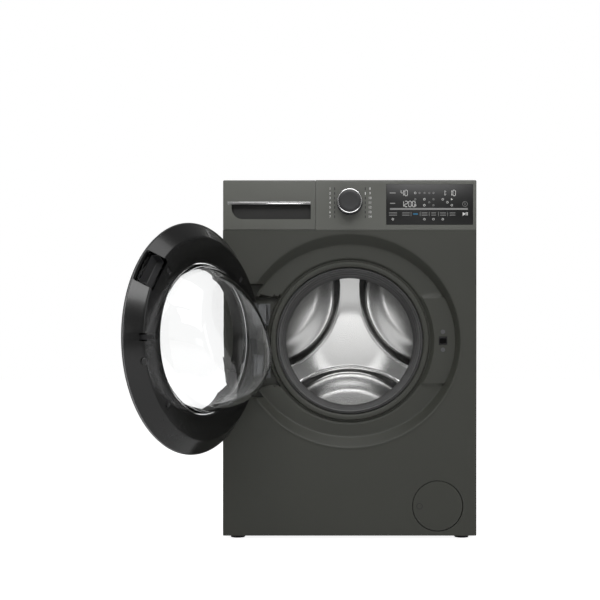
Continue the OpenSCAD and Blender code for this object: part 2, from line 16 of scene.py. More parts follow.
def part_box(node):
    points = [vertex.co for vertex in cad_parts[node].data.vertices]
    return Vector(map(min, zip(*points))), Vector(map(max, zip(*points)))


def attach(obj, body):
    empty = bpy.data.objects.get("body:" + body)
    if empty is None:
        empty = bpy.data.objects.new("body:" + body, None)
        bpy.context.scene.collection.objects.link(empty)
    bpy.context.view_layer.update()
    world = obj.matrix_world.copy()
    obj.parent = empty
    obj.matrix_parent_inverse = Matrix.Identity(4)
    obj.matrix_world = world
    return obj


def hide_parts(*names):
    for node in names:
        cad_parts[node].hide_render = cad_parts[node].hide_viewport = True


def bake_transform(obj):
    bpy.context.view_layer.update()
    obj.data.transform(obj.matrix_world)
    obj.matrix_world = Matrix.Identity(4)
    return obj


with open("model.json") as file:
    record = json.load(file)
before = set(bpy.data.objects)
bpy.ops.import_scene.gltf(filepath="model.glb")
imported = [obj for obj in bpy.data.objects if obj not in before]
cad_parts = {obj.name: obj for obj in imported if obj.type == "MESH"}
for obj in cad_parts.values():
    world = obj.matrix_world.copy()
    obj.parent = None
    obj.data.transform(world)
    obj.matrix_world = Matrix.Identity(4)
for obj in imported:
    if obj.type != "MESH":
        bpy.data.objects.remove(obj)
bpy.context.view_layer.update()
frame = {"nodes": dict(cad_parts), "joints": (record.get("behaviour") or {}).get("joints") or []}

MM = 0.001
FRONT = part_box("front_panel")[0][1]
AXIS_Z = 0.47
log = logging.getLogger("washer")

Tint = tuple[float, float, float]


def srgb(red: int, green: int, blue: int) -> Tint:
    """Linear colour of an 8-bit display colour.

    Args:
        red: red, 0 to 255.
        green: green, 0 to 255.
        blue: blue, 0 to 255.

    Returns:
        Red, green and blue, linear.
    """
    def linear(value: int) -> float:
        """Linear value of one channel."""
        part = value / 255
        return part / 12.92 if part <= 0.04045 else ((part + 0.055) / 1.055) ** 2.4
    return linear(red), linear(green), linear(blue)


# ---------------------------------------------------------------- finishes


class Grain(Enum):
    """Which way the fine texture of a finish runs."""

    EVEN = "even"
    TURNED = "turned"


@dataclass(frozen=True)
class Finish:
    """One surface finish: its colour, its shine and its fine texture.

    Attributes:
        name: what the finish is called.
        tint: base colour, linear.
        metal: 1 for bare metal, 0 for the rest.
        rough: mean roughness.
        rough_spread: how far roughness wanders either way.
        shade: how far the colour wanders, as a share of it.
        grain_mm: size of the fine texture.
        relief: strength of the bump.
        coat: clear coat weight.
        sheen: soft sheen weight for rubber and cloth.
        grain: which way the texture runs.
    """

    name: str
    tint: Tint
    metal: float = 0.0
    rough: float = 0.45
    rough_spread: float = 0.08
    shade: float = 0.10
    grain_mm: float = 1.2
    relief: float = 0.08
    coat: float = 0.0
    sheen: float = 0.0
    grain: Grain = Grain.EVEN

    def material(self) -> bpy.types.Material:
        """Builds the node material, or returns the one already built.

        Returns:
            The material.
        """
        known = bpy.data.materials.get(f"fine_{self.name}")
        if known is not None:
            return known
        made = bpy.data.materials.new(f"fine_{self.name}")
        made.use_nodes = True
        tree = made.node_tree
        shader = tree.nodes["Principled BSDF"]
        shader.inputs["Metallic"].default_value = self.metal
        shader.inputs["Coat Weight"].default_value = self.coat
        shader.inputs["Coat Roughness"].default_value = 0.08
        shader.inputs["Sheen Weight"].default_value = self.sheen
        place = tree.nodes.new("ShaderNodeTexCoord")
        spread = tree.nodes.new("ShaderNodeMapping")
        spread.inputs["Scale"].default_value = self.stretch()
        tree.links.new(place.outputs["Object"], spread.inputs["Vector"])
        fine = self.noise(tree, spread, 1000.0 / self.grain_mm, 3.0)
        broad = self.noise(tree, place, 9.0, 2.0, "Object")
        self.colour(tree, shader, fine, broad)
        self.gloss(tree, shader, fine, broad)
        bump = tree.nodes.new("ShaderNodeBump")
        bump.inputs["Strength"].default_value = self.relief
        bump.inputs["Distance"].default_value = self.grain_mm * MM * 0.5
        tree.links.new(fine.outputs["Fac"], bump.inputs["Height"])
        tree.links.new(bump.outputs["Normal"], shader.inputs["Normal"])
        return made

    def stretch(self) -> tuple[float, float, float]:
        """How the texture is stretched along each axis.

        Returns:
            The scale along X, Y and Z.
        """
        if self.grain is Grain.TURNED:
            return 1.0, 0.05, 1.0
        return 1.0, 1.0, 1.0

    @staticmethod
    def noise(tree: bpy.types.NodeTree, source: bpy.types.Node, scale: float, detail: float,
              socket: str = "Vector") -> bpy.types.Node:
        """Adds a noise texture of that scale read from source's socket.

        Args:
            tree: the material's node tree.
            source: the node whose output is read.
            scale: size of the noise; larger is finer.
            detail: octaves of noise.
            socket: which output of the source is read.

        Returns:
            The noise node.
        """
        made = tree.nodes.new("ShaderNodeTexNoise")
        made.inputs["Scale"].default_value = scale
        made.inputs["Detail"].default_value = detail
        tree.links.new(source.outputs[socket], made.inputs["Vector"])
        return made

    def colour(self, tree: bpy.types.NodeTree, shader: bpy.types.Node, fine: bpy.types.Node,
               broad: bpy.types.Node) -> None:
        """Wires a colour that wanders a little with both textures.

        Args:
            tree: the material's node tree.
            shader: the shader to wire into.
            fine: the fine noise node.
            broad: the broad noise node.
        """
        ramp = tree.nodes.new("ShaderNodeValToRGB")
        low, high = 1.0 - self.shade, 1.0 + self.shade
        ramp.color_ramp.elements[0].position = 0.3
        ramp.color_ramp.elements[1].position = 0.7
        ramp.color_ramp.elements[0].color = (*[part * low for part in self.tint], 1.0)
        ramp.color_ramp.elements[1].color = (*[min(1.0, part * high) for part in self.tint], 1.0)
        blend = tree.nodes.new("ShaderNodeMath")
        blend.operation = "MULTIPLY_ADD"
        blend.inputs[1].default_value = 0.35
        shift = tree.nodes.new("ShaderNodeMath")
        shift.operation = "MULTIPLY"
        shift.inputs[1].default_value = 0.65
        tree.links.new(broad.outputs["Fac"], shift.inputs[0])
        tree.links.new(fine.outputs["Fac"], blend.inputs[0])
        tree.links.new(shift.outputs[0], blend.inputs[2])
        tree.links.new(blend.outputs[0], ramp.inputs["Fac"])
        tree.links.new(ramp.outputs["Color"], shader.inputs["Base Color"])

    def gloss(self, tree: bpy.types.NodeTree, shader: bpy.types.Node, fine: bpy.types.Node,
              broad: bpy.types.Node) -> None:
        """Wires a roughness that wanders with handling and with the grain.

        Args:
            tree: the material's node tree.
            shader: the shader to wire into.
            fine: the fine noise node.
            broad: the broad noise node.
        """
        both = tree.nodes.new("ShaderNodeMath")
        both.operation = "ADD"
        tree.links.new(fine.outputs["Fac"], both.inputs[0])
        tree.links.new(broad.outputs["Fac"], both.inputs[1])
        span = tree.nodes.new("ShaderNodeMapRange")
        span.inputs["From Min"].default_value = 0.6
        span.inputs["From Max"].default_value = 1.4
        span.inputs["To Min"].default_value = max(0.02, self.rough - self.rough_spread)
        span.inputs["To Max"].default_value = min(1.0, self.rough + self.rough_spread)
        tree.links.new(both.outputs[0], span.inputs["Value"])
        tree.links.new(span.outputs["Result"], shader.inputs["Roughness"])


@dataclass(frozen=True)
class ClearGlass:
    """Clear pressed glass that lets light straight through without slow caustics."""

    name: str = "clear_glass"
    tint: Tint = (0.985, 0.99, 0.99)

    def material(self) -> bpy.types.Material:
        """Builds the node material, or returns the one already built.

        Returns:
            The material.
        """
        known = bpy.data.materials.get(f"fine_{self.name}")
        if known is not None:
            return known
        made = bpy.data.materials.new(f"fine_{self.name}")
        made.use_nodes = True
        tree = made.node_tree
        shader = tree.nodes["Principled BSDF"]
        shader.inputs["Transmission Weight"].default_value = 1.0
        shader.inputs["IOR"].default_value = 1.45
        place = tree.nodes.new("ShaderNodeTexCoord")
        waves = Finish.noise(tree, place, 22.0, 1.0, "Object")
        tinted = tree.nodes.new("ShaderNodeValToRGB")
        tinted.color_ramp.elements[0].color = (*self.tint, 1.0)
        tinted.color_ramp.elements[1].color = (*[part * 0.985 for part in self.tint], 1.0)
        tree.links.new(waves.outputs["Fac"], tinted.inputs["Fac"])
        tree.links.new(tinted.outputs["Color"], shader.inputs["Base Color"])
        span = tree.nodes.new("ShaderNodeMapRange")
        span.inputs["To Min"].default_value = 0.0
        span.inputs["To Max"].default_value = 0.008
        tree.links.new(waves.outputs["Fac"], span.inputs["Value"])
        tree.links.new(span.outputs["Result"], shader.inputs["Roughness"])
        bump = tree.nodes.new("ShaderNodeBump")
        bump.inputs["Strength"].default_value = 0.05
        bump.inputs["Distance"].default_value = 0.002
        tree.links.new(waves.outputs["Fac"], bump.inputs["Height"])
        tree.links.new(bump.outputs["Normal"], shader.inputs["Normal"])
        return made


CABINET_PAINT = Finish("cabinet_paint", srgb(50, 51, 45), rough=0.56, shade=0.05, grain_mm=0.9, relief=0.05)
FASCIA_PAINT = Finish("fascia_paint", srgb(85, 86, 81), rough=0.4, shade=0.04, grain_mm=0.7, relief=0.05)
KNOB_FACE = Finish("knob_face", srgb(38, 38, 39), rough=0.42, shade=0.06, grain_mm=0.5, relief=0.06)
BLACK_GLOSS = Finish("black_gloss", srgb(12, 12, 12), rough=0.24, rough_spread=0.05, shade=0.1, grain_mm=2.5,
                     relief=0.012, coat=0.15)
BLACK_PLASTIC = Finish("black_plastic", srgb(28, 28, 29), rough=0.5, grain_mm=0.6, relief=0.15)
# painted shade: a near-black colour for hollows (the drawer scoop and the filter flap dimple) that stands in
# for the shade falling in them
PAINTED_SHADE = Finish("painted_shade_recess", srgb(24, 24, 22), rough=0.5, grain_mm=0.7, relief=0.08)
WHITE_PLASTIC = Finish("white_plastic", srgb(214, 215, 211), rough=0.42, shade=0.03, grain_mm=0.8,
                       relief=0.08)
TUB_PLASTIC = Finish("tub_plastic", srgb(176, 179, 180), rough=0.55, shade=0.06, grain_mm=1.4, relief=0.15)
GREY_RUBBER = Finish("grey_rubber", srgb(82, 82, 82), rough=0.55, shade=0.05, grain_mm=0.8, relief=0.08,
                     sheen=0.1)
BLACK_RUBBER = Finish("black_rubber", srgb(30, 30, 30), rough=0.68, grain_mm=0.7, relief=0.15, sheen=0.15)
STAINLESS = Finish("stainless", srgb(216, 216, 215), metal=1.0, rough=0.21, rough_spread=0.02, shade=0.03,
                   grain_mm=2.5, relief=0.0006, grain=Grain.TURNED)
HINGE_STEEL = Finish("hinge_steel", srgb(96, 97, 98), metal=1.0, rough=0.4, shade=0.12, grain_mm=3.0,
                     relief=0.05)
ZINC = Finish("zinc_steel", srgb(176, 179, 182), metal=1.0, rough=0.38, shade=0.14, grain_mm=9.0, relief=0.02)
CHROME = Finish("chrome_trim", srgb(236, 236, 236), metal=1.0, rough=0.1, rough_spread=0.03, shade=0.02,
                grain_mm=1.0, relief=0.01)
RING_TRIM = Finish("ring_trim", srgb(132, 132, 133), metal=1.0, rough=0.32, rough_spread=0.03, shade=0.03,
                   grain_mm=1.0, relief=0.01)
ALUMINIUM = Finish("cast_aluminium", srgb(182, 183, 184), metal=1.0, rough=0.42, shade=0.08, grain_mm=1.6,
                   relief=0.25)
CONCRETE = Finish("concrete", srgb(138, 136, 130), rough=0.85, shade=0.22, grain_mm=4.0, relief=0.6)
BOARD = Finish("circuit_board", srgb(26, 84, 48), rough=0.35, shade=0.2, grain_mm=2.0, relief=0.1)
ENAMEL = Finish("motor_enamel", srgb(170, 172, 174), rough=0.4, shade=0.06, grain_mm=1.5, relief=0.1)
PANEL_GLASS = Finish("panel_glass", srgb(11, 11, 11), rough=0.36, rough_spread=0.03, shade=0.05, grain_mm=3.0,
                     relief=0.005)
WHITE_PRINT = Finish("white_print", srgb(205, 205, 203), rough=0.5, shade=0.03, grain_mm=0.4, relief=0.03)
GREY_PRINT = Finish("grey_print", srgb(128, 128, 127), rough=0.5, shade=0.04, grain_mm=0.4, relief=0.03)
BLACK_PRINT = Finish("black_print", srgb(30, 30, 29), rough=0.5, shade=0.05, grain_mm=0.4, relief=0.03)
BLUE_PRINT = Finish("blue_print", srgb(20, 110, 150), rough=0.5, shade=0.05, grain_mm=0.4, relief=0.03)
GLASS = ClearGlass()

CAD_FINISHES: dict[str, Finish] = {
    "left_side_panel": CABINET_PAINT, "right_side_panel": CABINET_PAINT, "worktop": CABINET_PAINT,
    "rear_panel": ZINC, "rear_access_cover": ZINC, "top_braces": ZINC, "case_screws": HINGE_STEEL,
    "foot_locknuts": ZINC, "drum_bearings": ZINC, "drum_shaft": ZINC, "motor_pulley": ZINC,
    "damper_rods": ZINC, "base_tray": BLACK_PLASTIC, "door_lock": BLACK_PLASTIC, "pump_body": BLACK_PLASTIC,
    "damper_tubes": BLACK_PLASTIC, "transit_caps": BLACK_PLASTIC, "filter_cap": BLACK_PLASTIC,
    "pump_impeller": BLACK_PLASTIC, "latch_hook": BLACK_PLASTIC, "control_board": BOARD,
    "dispenser_housing": WHITE_PLASTIC, "inlet_valve": WHITE_PLASTIC, "drawer_tray": WHITE_PLASTIC,
    "inlet_hose": BLACK_RUBBER, "drive_belt": BLACK_RUBBER, "cord_gland": BLACK_RUBBER,
    "drain_pipe": TUB_PLASTIC, "tub_front": TUB_PLASTIC, "tub_rear": TUB_PLASTIC,
    "front_counterweight": CONCRETE, "top_counterweight": CONCRETE, "motor_housing": ENAMEL,
    "heater": STAINLESS, "drum_shell": STAINLESS, "drum_spider": ALUMINIUM, "drum_pulley": ALUMINIUM,
    "hinge_bracket": HINGE_STEEL, "door_hinge_arm": HINGE_STEEL,
}


def dress(piece: bpy.types.Object, finish: Finish | ClearGlass) -> None:
    """Gives every material slot of a piece one finish.

    Args:
        piece: the piece to work on.
        finish: what it is made of.
    """
    mesh = piece.data
    if not mesh.materials:
        mesh.materials.append(finish.material())
        return
    for index in range(len(mesh.materials)):
        mesh.materials[index] = finish.material()


# ---------------------------------------------------------------- bench tools


@dataclass(frozen=True)
class Ring:
    """One loop of a lofted skin, in millimetres.

    Attributes:
        across: half width.
        up: half height.
        depth: distance behind the front plane.
    """

    across: float
    up: float
    depth: float


def round_ring(radius: float, depth: float) -> Ring:
    """A circular loop."""
    return Ring(radius, radius, depth)


def round_rings(outline: Iterable[tuple[float, float]]) -> list[Ring]:
    """Circular loops from (radius, depth) points."""
    return [round_ring(radius, depth) for radius, depth in outline]


class Bench:
    """The modelling steps that every piece is made with."""

    @staticmethod
    def clear() -> None:
        """Deselects everything in object mode."""
        if bpy.context.mode != "OBJECT":
            bpy.ops.object.mode_set(mode="OBJECT")
        bpy.ops.object.select_all(action="DESELECT")

    @staticmethod
    def hold(piece: bpy.types.Object) -> None:
        """Makes a piece the only selected and the active one.

        Args:
            piece: the piece to work on.
        """
        Bench.clear()
        piece.select_set(True)
        bpy.context.view_layer.objects.active = piece

    @staticmethod
    @contextmanager
    def edit(piece: bpy.types.Object, mode: str = "VERT") -> Iterator[bmesh.types.BMesh]:
        """Opens a piece in edit mode with nothing selected.

        Args:
            piece: the mesh to edit.
            mode: VERT, EDGE or FACE select mode.

        Returns:
            The edit mesh, for selecting in code.
        """
        Bench.hold(piece)
        bpy.ops.object.mode_set(mode="EDIT")
        bpy.ops.mesh.select_mode(type=mode)
        bpy.ops.mesh.select_all(action="DESELECT")
        yield bmesh.from_edit_mesh(piece.data)
        bpy.ops.object.mode_set(mode="OBJECT")

    @staticmethod
    def settle(piece: bpy.types.Object) -> None:
        """Puts a piece's place into its mesh and its object at the origin."""
        Bench.hold(piece)
        bpy.ops.object.transform_apply(location=True, rotation=True, scale=True)

    @staticmethod
    def named(name: str) -> bpy.types.Object:
        """Names the new active object and its mesh.

        Args:
            name: what the piece is called.

        Returns:
            The piece.
        """
        piece = bpy.context.active_object
        piece.name = name
        piece.data.name = name
        return piece

    @staticmethod
    def loft(name: str, rings: Sequence[Ring], x: float = 0.0, z: float = AXIS_Z / MM,
             segments: int = 144, closed: bool = False) -> bpy.types.Object:
        """Extrudes a loop from ring to ring along the depth.

        Args:
            name: the piece's name.
            rings: the loops in order; one of zero radius closes to a pole.
            x: centre across, mm.
            z: centre height, mm.
            segments: points on a loop.
            closed: whether the last loop joins the first.

        Returns:
            The skin, with its normals made consistent.
        """
        Bench.clear()
        first = rings[0]
        bpy.ops.mesh.primitive_circle_add(
            vertices=segments, radius=1.0, rotation=(math.pi / 2, 0, 0),
            location=(x * MM, FRONT + first.depth * MM, z * MM))
        piece = Bench.named(name)
        piece.scale = (first.across * MM, first.up * MM, 1.0)
        Bench.settle(piece)
        with Bench.edit(piece):
            bpy.ops.mesh.select_all(action="SELECT")
            last = first
            for ring in rings[1:]:
                move = (0.0, (ring.depth - last.depth) * MM, 0.0)
                bpy.ops.mesh.extrude_region_move(TRANSFORM_OT_translate={"value": move})
                centre = (x * MM, FRONT + ring.depth * MM, z * MM)
                if ring.across == 0:
                    bpy.ops.mesh.merge(type="CENTER")
                    break
                scale = (ring.across / last.across, 1.0, ring.up / last.up)
                bpy.ops.transform.resize(value=scale, center_override=centre)
                last = ring
            bpy.ops.mesh.select_all(action="SELECT")
            if closed:
                bpy.ops.mesh.remove_doubles(threshold=0.00001)
            bpy.ops.mesh.normals_make_consistent(inside=False)
        return piece

    @staticmethod
    def block(name: str, low: Sequence[float], high: Sequence[float], edge: float = 0.0,
              steps: int = 3) -> bpy.types.Object:
        """A box between two corners given in mm from the front plane, with rounded edges.

        Args:
            name: the piece's name.
            low: lowest corner (across, depth, height).
            high: highest corner.
            edge: radius of every edge.
            steps: facets across a rounded edge.

        Returns:
            The box.
        """
        Bench.clear()
        middle = [(a + b) / 2 * MM for a, b in zip(low, high)]
        bpy.ops.mesh.primitive_cube_add(size=1.0, location=(middle[0], FRONT + middle[1], middle[2]))
        piece = Bench.named(name)
        piece.scale = [(b - a) * MM for a, b in zip(low, high)]
        Bench.settle(piece)
        if edge > 0:
            with Bench.edit(piece, "EDGE"):
                bpy.ops.mesh.select_all(action="SELECT")
                bpy.ops.mesh.bevel(offset=edge * MM, segments=steps, affect="EDGES")
        return piece

    @staticmethod
    def bar(name: str, radius: float, start: float, end: float, x: float = 0.0, z: float = AXIS_Z / MM,
            sides: int = 48) -> bpy.types.Object:
        """A closed round bar along the depth, in mm.

        Args:
            name: what the piece is called.
            radius: radius in mm.
            start: depth of the near end, mm.
            end: depth of the far end, mm.
            x: place across, mm.
            z: height, mm.
            sides: points round the bar.

        Returns:
            The bar.
        """
        rings = [round_ring(radius, start), round_ring(radius, end)]
        piece = Bench.loft(name, rings, x, z, sides)
        with Bench.edit(piece, "EDGE"):
            bpy.ops.mesh.select_all(action="SELECT")
            bpy.ops.mesh.region_to_loop()
            bpy.ops.mesh.edge_face_add()
            bpy.ops.mesh.select_all(action="SELECT")
            bpy.ops.mesh.fill_holes(sides=0)
            bpy.ops.mesh.normals_make_consistent(inside=False)
        return piece

    @staticmethod
    def apply(piece: bpy.types.Object, kind: str, **settings: object) -> None:
        """Adds a modifier with these settings and applies it.

        Args:
            piece: the piece to work on.
            kind: the modifier's type.
            settings: its settings.
        """
        Bench.hold(piece)
        modifier = piece.modifiers.new(kind.lower(), kind)
        for key, value in settings.items():
            setattr(modifier, key, value)
        bpy.ops.object.modifier_apply(modifier=modifier.name)

    @staticmethod
    def cut(piece: bpy.types.Object, *tools: bpy.types.Object) -> None:
        """Takes tools out of a piece and throws them away.

        Args:
            piece: the piece to work on.
            tools: the tools, which are used up.
        """
        for tool in tools:
            Bench.apply(piece, "BOOLEAN", object=tool, operation="DIFFERENCE", solver="EXACT")
            bpy.data.objects.remove(tool)

    @staticmethod
    def thicken(piece: bpy.types.Object, thickness: float, offset: float = -1.0, even: bool = True) -> None:
        """Gives a skin a wall of that thickness in mm, inwards by default."""
        Bench.apply(piece, "SOLIDIFY", thickness=thickness * MM, offset=offset, use_even_offset=even)

    @staticmethod
    def ease(piece: bpy.types.Object, width: float, steps: int = 3, angle: float = 40.0) -> None:
        """Rounds the edges sharper than an angle by a width in mm."""
        Bench.apply(piece, "BEVEL", width=width * MM, segments=steps, limit_method="ANGLE",
                    angle_limit=math.radians(angle), use_clamp_overlap=True, harden_normals=False)

    @staticmethod
    def smooth(piece: bpy.types.Object, angle: float = 32.0) -> None:
        """Shades a piece smooth except at edges sharper than an angle."""
        Bench.hold(piece)
        bpy.ops.object.shade_smooth_by_angle(angle=math.radians(angle))

    @staticmethod
    def join(name: str, pieces: Sequence[bpy.types.Object]) -> bpy.types.Object:
        """Joins pieces into one mesh of that name.

        Args:
            name: what the piece is called.
            pieces: the pieces to join; the first gives the place.

        Returns:
            The joined piece.
        """
        Bench.clear()
        for piece in pieces:
            piece.select_set(True)
        bpy.context.view_layer.objects.active = pieces[0]
        if len(pieces) > 1:
            bpy.ops.object.join()
        return Bench.named(name)

    @staticmethod
    def turn(piece: bpy.types.Object, matrix: Matrix) -> None:
        """Moves a finished mesh by a matrix, leaving its object at the origin."""
        piece.data.transform(matrix)
        piece.data.update()

    @staticmethod
    def flip_out(piece: bpy.types.Object) -> None:
        """Merges doubles and points every face outwards.

        Args:
            piece: the piece to work on.
        """
        with Bench.edit(piece):
            bpy.ops.mesh.select_all(action="SELECT")
            bpy.ops.mesh.remove_doubles(threshold=0.00001)
            bpy.ops.mesh.normals_make_consistent(inside=False)

    @staticmethod
    def figure(name: str, text: str, x: float, z: float, size: float, depth: float) -> bpy.types.Object:
        """Plain raised figures centred at a place on the front, in mm.

        Args:
            name: what the piece is called.
            text: the figures.
            x: place across, mm.
            z: height, mm.
            size: size in mm.
            depth: distance behind the front plane, mm.

        Returns:
            The figures as a mesh.
        """
        Bench.clear()
        bpy.ops.object.text_add(location=(x * MM, FRONT + depth * MM, z * MM), rotation=(math.pi / 2, 0, 0))
        words = bpy.context.active_object
        words.data.body = text
        words.data.size = size * MM
        words.data.align_x = "CENTER"
        words.data.align_y = "CENTER"
        words.data.extrude = 0.00008
        words.data.resolution_u = 3
        bpy.ops.object.convert(target="MESH")
        piece = Bench.named(name)
        Bench.settle(piece)
        return piece


def about(x: float, z: float, degrees: float) -> Matrix:
    """A turn about a line along the depth, through a place in metres; positive lifts its right-hand side."""
    centre = Matrix.Translation((x, 0, z))
    return centre @ Matrix.Rotation(math.radians(-degrees), 4, "Y") @ centre.inverted()


def finish_piece(piece: bpy.types.Object, finish: Finish | ClearGlass, body: str,
                 replaced: Sequence[str] = (), angle: float = 32.0) -> bpy.types.Object:
    """Shades, dresses and mounts a finished piece.

    Args:
        piece: the mesh.
        finish: what it is made of.
        body: the moving body it rides on, or nothing where it bends between two.
        replaced: the CAD nodes that it stands for.
        angle: edges sharper than this stay sharp.

    Returns:
        The same piece.
    """
    if angle > 0:
        Bench.smooth(piece, angle)
    dress(piece, finish)
    if body:
        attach(piece, body)
    if replaced:
        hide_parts(*replaced)
    log.info("%s: %d faces on %s", piece.name, len(piece.data.polygons), body or "a flexing mount")
    return piece


def paint_inside(piece: bpy.types.Object, finish: Finish, low: Sequence[float],
                 high: Sequence[float]) -> None:
    """Paints a second material onto the faces that lie inside a box given in mm from the front plane; used
    for painted shade in hollows.

    Args:
        piece: the piece to work on.
        finish: what those faces are painted with; here a near-black painted shade.
        low: lowest corner in mm.
        high: highest corner in mm.
    """
    piece.data.materials.append(finish.material())
    slot = len(piece.data.materials) - 1
    for face in piece.data.polygons:
        centre = (face.center.x / MM, (face.center.y - FRONT) / MM, face.center.z / MM)
        if all(a < part < b for a, part, b in zip(low, centre, high)):
            face.material_index = slot


# ---------------------------------------------------------------- cabinet


@dataclass
class FrontPanel:
    """Pressed steel front with its round recess, hinge pocket, lock pad and mouth, in mm."""

    half_width: float = 300.0
    low: float = 9.0
    high: float = 731.5
    across: float = 261.5
    up: float = 251.0
    floor: float = 24.0
    mouth: float = 176.6
    pad_half: float = 101.0
    pad_slope: float = 18.0
    pad_rise: float = 5.0
    pocket_half: float = 105.0
    pocket_slope: float = 9.0
    pocket: float = 37.9
    lock_x: float = 222.0
    filter_at: tuple[float, float, float] = (208.0, 79.0, 60.2)

    def build(self) -> None:
        """Makes the folded plate and the pressed dish and joins them."""
        plate = self.plate()
        dish = self.dish()
        tray = self.widen_pocket(plate, dish)
        Bench.cut(dish, Bench.block("lock_hole", (self.lock_x - 10, 0, 460), (self.lock_x + 10, 60, 480)))
        panel = Bench.join("front_panel_pressing", [plate, dish, tray])
        finish_piece(panel, CABINET_PAINT, "cabinet", ["front_panel"])
        self.lock_frame()

    def widen_pocket(self, plate: bpy.types.Object, dish: bpy.types.Object) -> bpy.types.Object:
        """Lets the edge of the door swing in beside the recess.

        Args:
            plate: the flat plate, which is cut.
            dish: the pressed dish, which is changed.

        Returns:
            The tray that closes the cut.
        """
        low, high = (-257.3, -20, 470 - 134.8), (-205, 25.6, 470 + 134.8)
        tray = Bench.block("pocket_tray", (-258.5, 0.05, 470 - 136), (-206, 26.8, 470 + 136))
        inside = [Ring(self.across, self.up, -20), Ring(self.across, self.up, 0),
                  Ring(self.across - 4, self.up - 9, 9), Ring(self.across - 10.6, self.up - 21, self.floor),
                  Ring(self.across - 10.6, self.up - 21, 60)]
        Bench.cut(tray, Bench.block("way", low, high, 2), self.capped(Bench.loft("inside", inside)))
        Bench.cut(plate, Bench.block("way", low, high, 2))
        Bench.cut(dish, Bench.block("way", low, (-205, 20.4, 470 + 134.8), 2))
        return tray

    def plate(self) -> bpy.types.Object:
        """The flat plate with folded edges, the recess opening and the filter opening.

        Returns:
            The plate.
        """
        plate = Bench.block("panel_plate", (-self.half_width, 0, self.low), (self.half_width, 15, self.high))
        with Bench.edit(plate, "EDGE") as mesh:
            for edge in mesh.edges:
                tall = abs(edge.verts[0].co.z - edge.verts[1].co.z) > 0.1
                edge.select = tall and edge.verts[0].co.y < FRONT + 0.001
            bpy.ops.mesh.bevel(offset=3.5 * MM, segments=5, affect="EDGES")
        with Bench.edit(plate, "FACE") as mesh:
            for face in mesh.faces:
                face.select = face.normal.y > 0.9
            bpy.ops.mesh.delete(type="FACE")
        Bench.thicken(plate, 1.2)
        opening = Bench.loft("opening", [Ring(self.across + 5, self.up + 5, -5),
                                         Ring(self.across + 5, self.up + 5, 10)], segments=192)
        x, z, radius = self.filter_at
        for tool in (self.capped(opening), Bench.bar("filter_opening", radius, -5, 10, x, z, 96)):
            Bench.cut(plate, tool)
        return plate

    @staticmethod
    def capped(tube: bpy.types.Object) -> bpy.types.Object:
        """Closes both ends of a tube so that it can cut.

        Args:
            tube: an open tube.

        Returns:
            The same piece, closed.
        """
        with Bench.edit(tube):
            bpy.ops.mesh.select_all(action="SELECT")
            bpy.ops.mesh.fill_holes(sides=0)
            bpy.ops.mesh.normals_make_consistent(inside=False)
        return tube

    def dish(self) -> bpy.types.Object:
        """The recess, its circular groove and the rolled mouth.

        Returns:
            The dish.
        """
        floor = self.floor
        rings = [Ring(self.across + 5, self.up + 5, 0), Ring(self.across + 2, self.up + 2.1, 0),
                 Ring(self.across + 0.8, self.up + 0.9, 0.4), Ring(self.across, self.up, 1.5),
                 Ring(self.across - 4, self.up - 9, 9), Ring(self.across - 9.7, self.up - 19, floor - 2.4),
                 Ring(self.across - 10.6, self.up - 21, floor - 0.7),
                 Ring(self.across - 12, self.up - 23, floor), Ring(self.across - 16, self.up - 27.5, floor),
                 round_ring(212, floor), round_ring(202, floor),
                 round_ring(198, floor), round_ring(196.5, floor + 0.7), round_ring(195, floor + 2.8),
                 round_ring(193.5, floor + 4), round_ring(190.5, floor + 4), round_ring(189.2, floor + 2.8),
                 round_ring(188, floor - 3), round_ring(186.6, floor - 4.6), round_ring(183, floor - 5),
                 round_ring(179.2, floor - 4.8), round_ring(177.4, floor - 3.8),
                 round_ring(self.mouth, floor - 1),
                 round_ring(self.mouth, 34)]
        dish = Bench.loft("panel_dish", rings, segments=192)
        self.raise_pad(dish)
        self.sink_pocket(dish)
        Bench.thicken(dish, 1.2, 1.0, False)
        with Bench.edit(dish):
            bpy.ops.mesh.select_all(action="SELECT")
            bpy.ops.mesh.normals_make_consistent(inside=False)
        return dish

    def bisect_heights(self, dish: bpy.types.Object, heights: Sequence[float], right: bool) -> None:
        """Cuts level lines into one side of the dish, above and below the drum axis.

        Args:
            dish: the pressed dish, which is changed.
            heights: distances above and below the drum axis, mm.
            right: whether the right-hand side is cut.
        """
        for height in heights:
            for sign in (-1, 1):
                with Bench.edit(dish, "FACE") as mesh:
                    for face in mesh.faces:
                        centre = face.calc_center_median()
                        face.select = (centre.x > 0) == right and abs(centre.x) > 0.1
                    bpy.ops.mesh.bisect(plane_co=(0, 0, AXIS_Z + sign * height * MM), plane_no=(0, 0, 1))

    def raise_pad(self, dish: bpy.types.Object) -> None:
        """Raises the pad that carries the door lock.

        Args:
            dish: the pressed dish, which is changed.
        """
        self.bisect_heights(dish, (self.pad_half, self.pad_half + self.pad_slope), True)
        with Bench.edit(dish) as mesh:
            for vert in mesh.verts:
                radius = math.hypot(vert.co.x, vert.co.z - AXIS_Z)
                level = abs(vert.co.z - AXIS_Z) <= (self.pad_half + 0.1) * MM
                deep = vert.co.y > FRONT + (self.floor - self.pad_rise + 0.05) * MM
                vert.select = vert.co.x > 0 and level and deep and radius > 0.2015
            level_y = FRONT + (self.floor - self.pad_rise) * MM
            bpy.ops.transform.resize(value=(1, 0, 1), center_override=(0, level_y, 0))

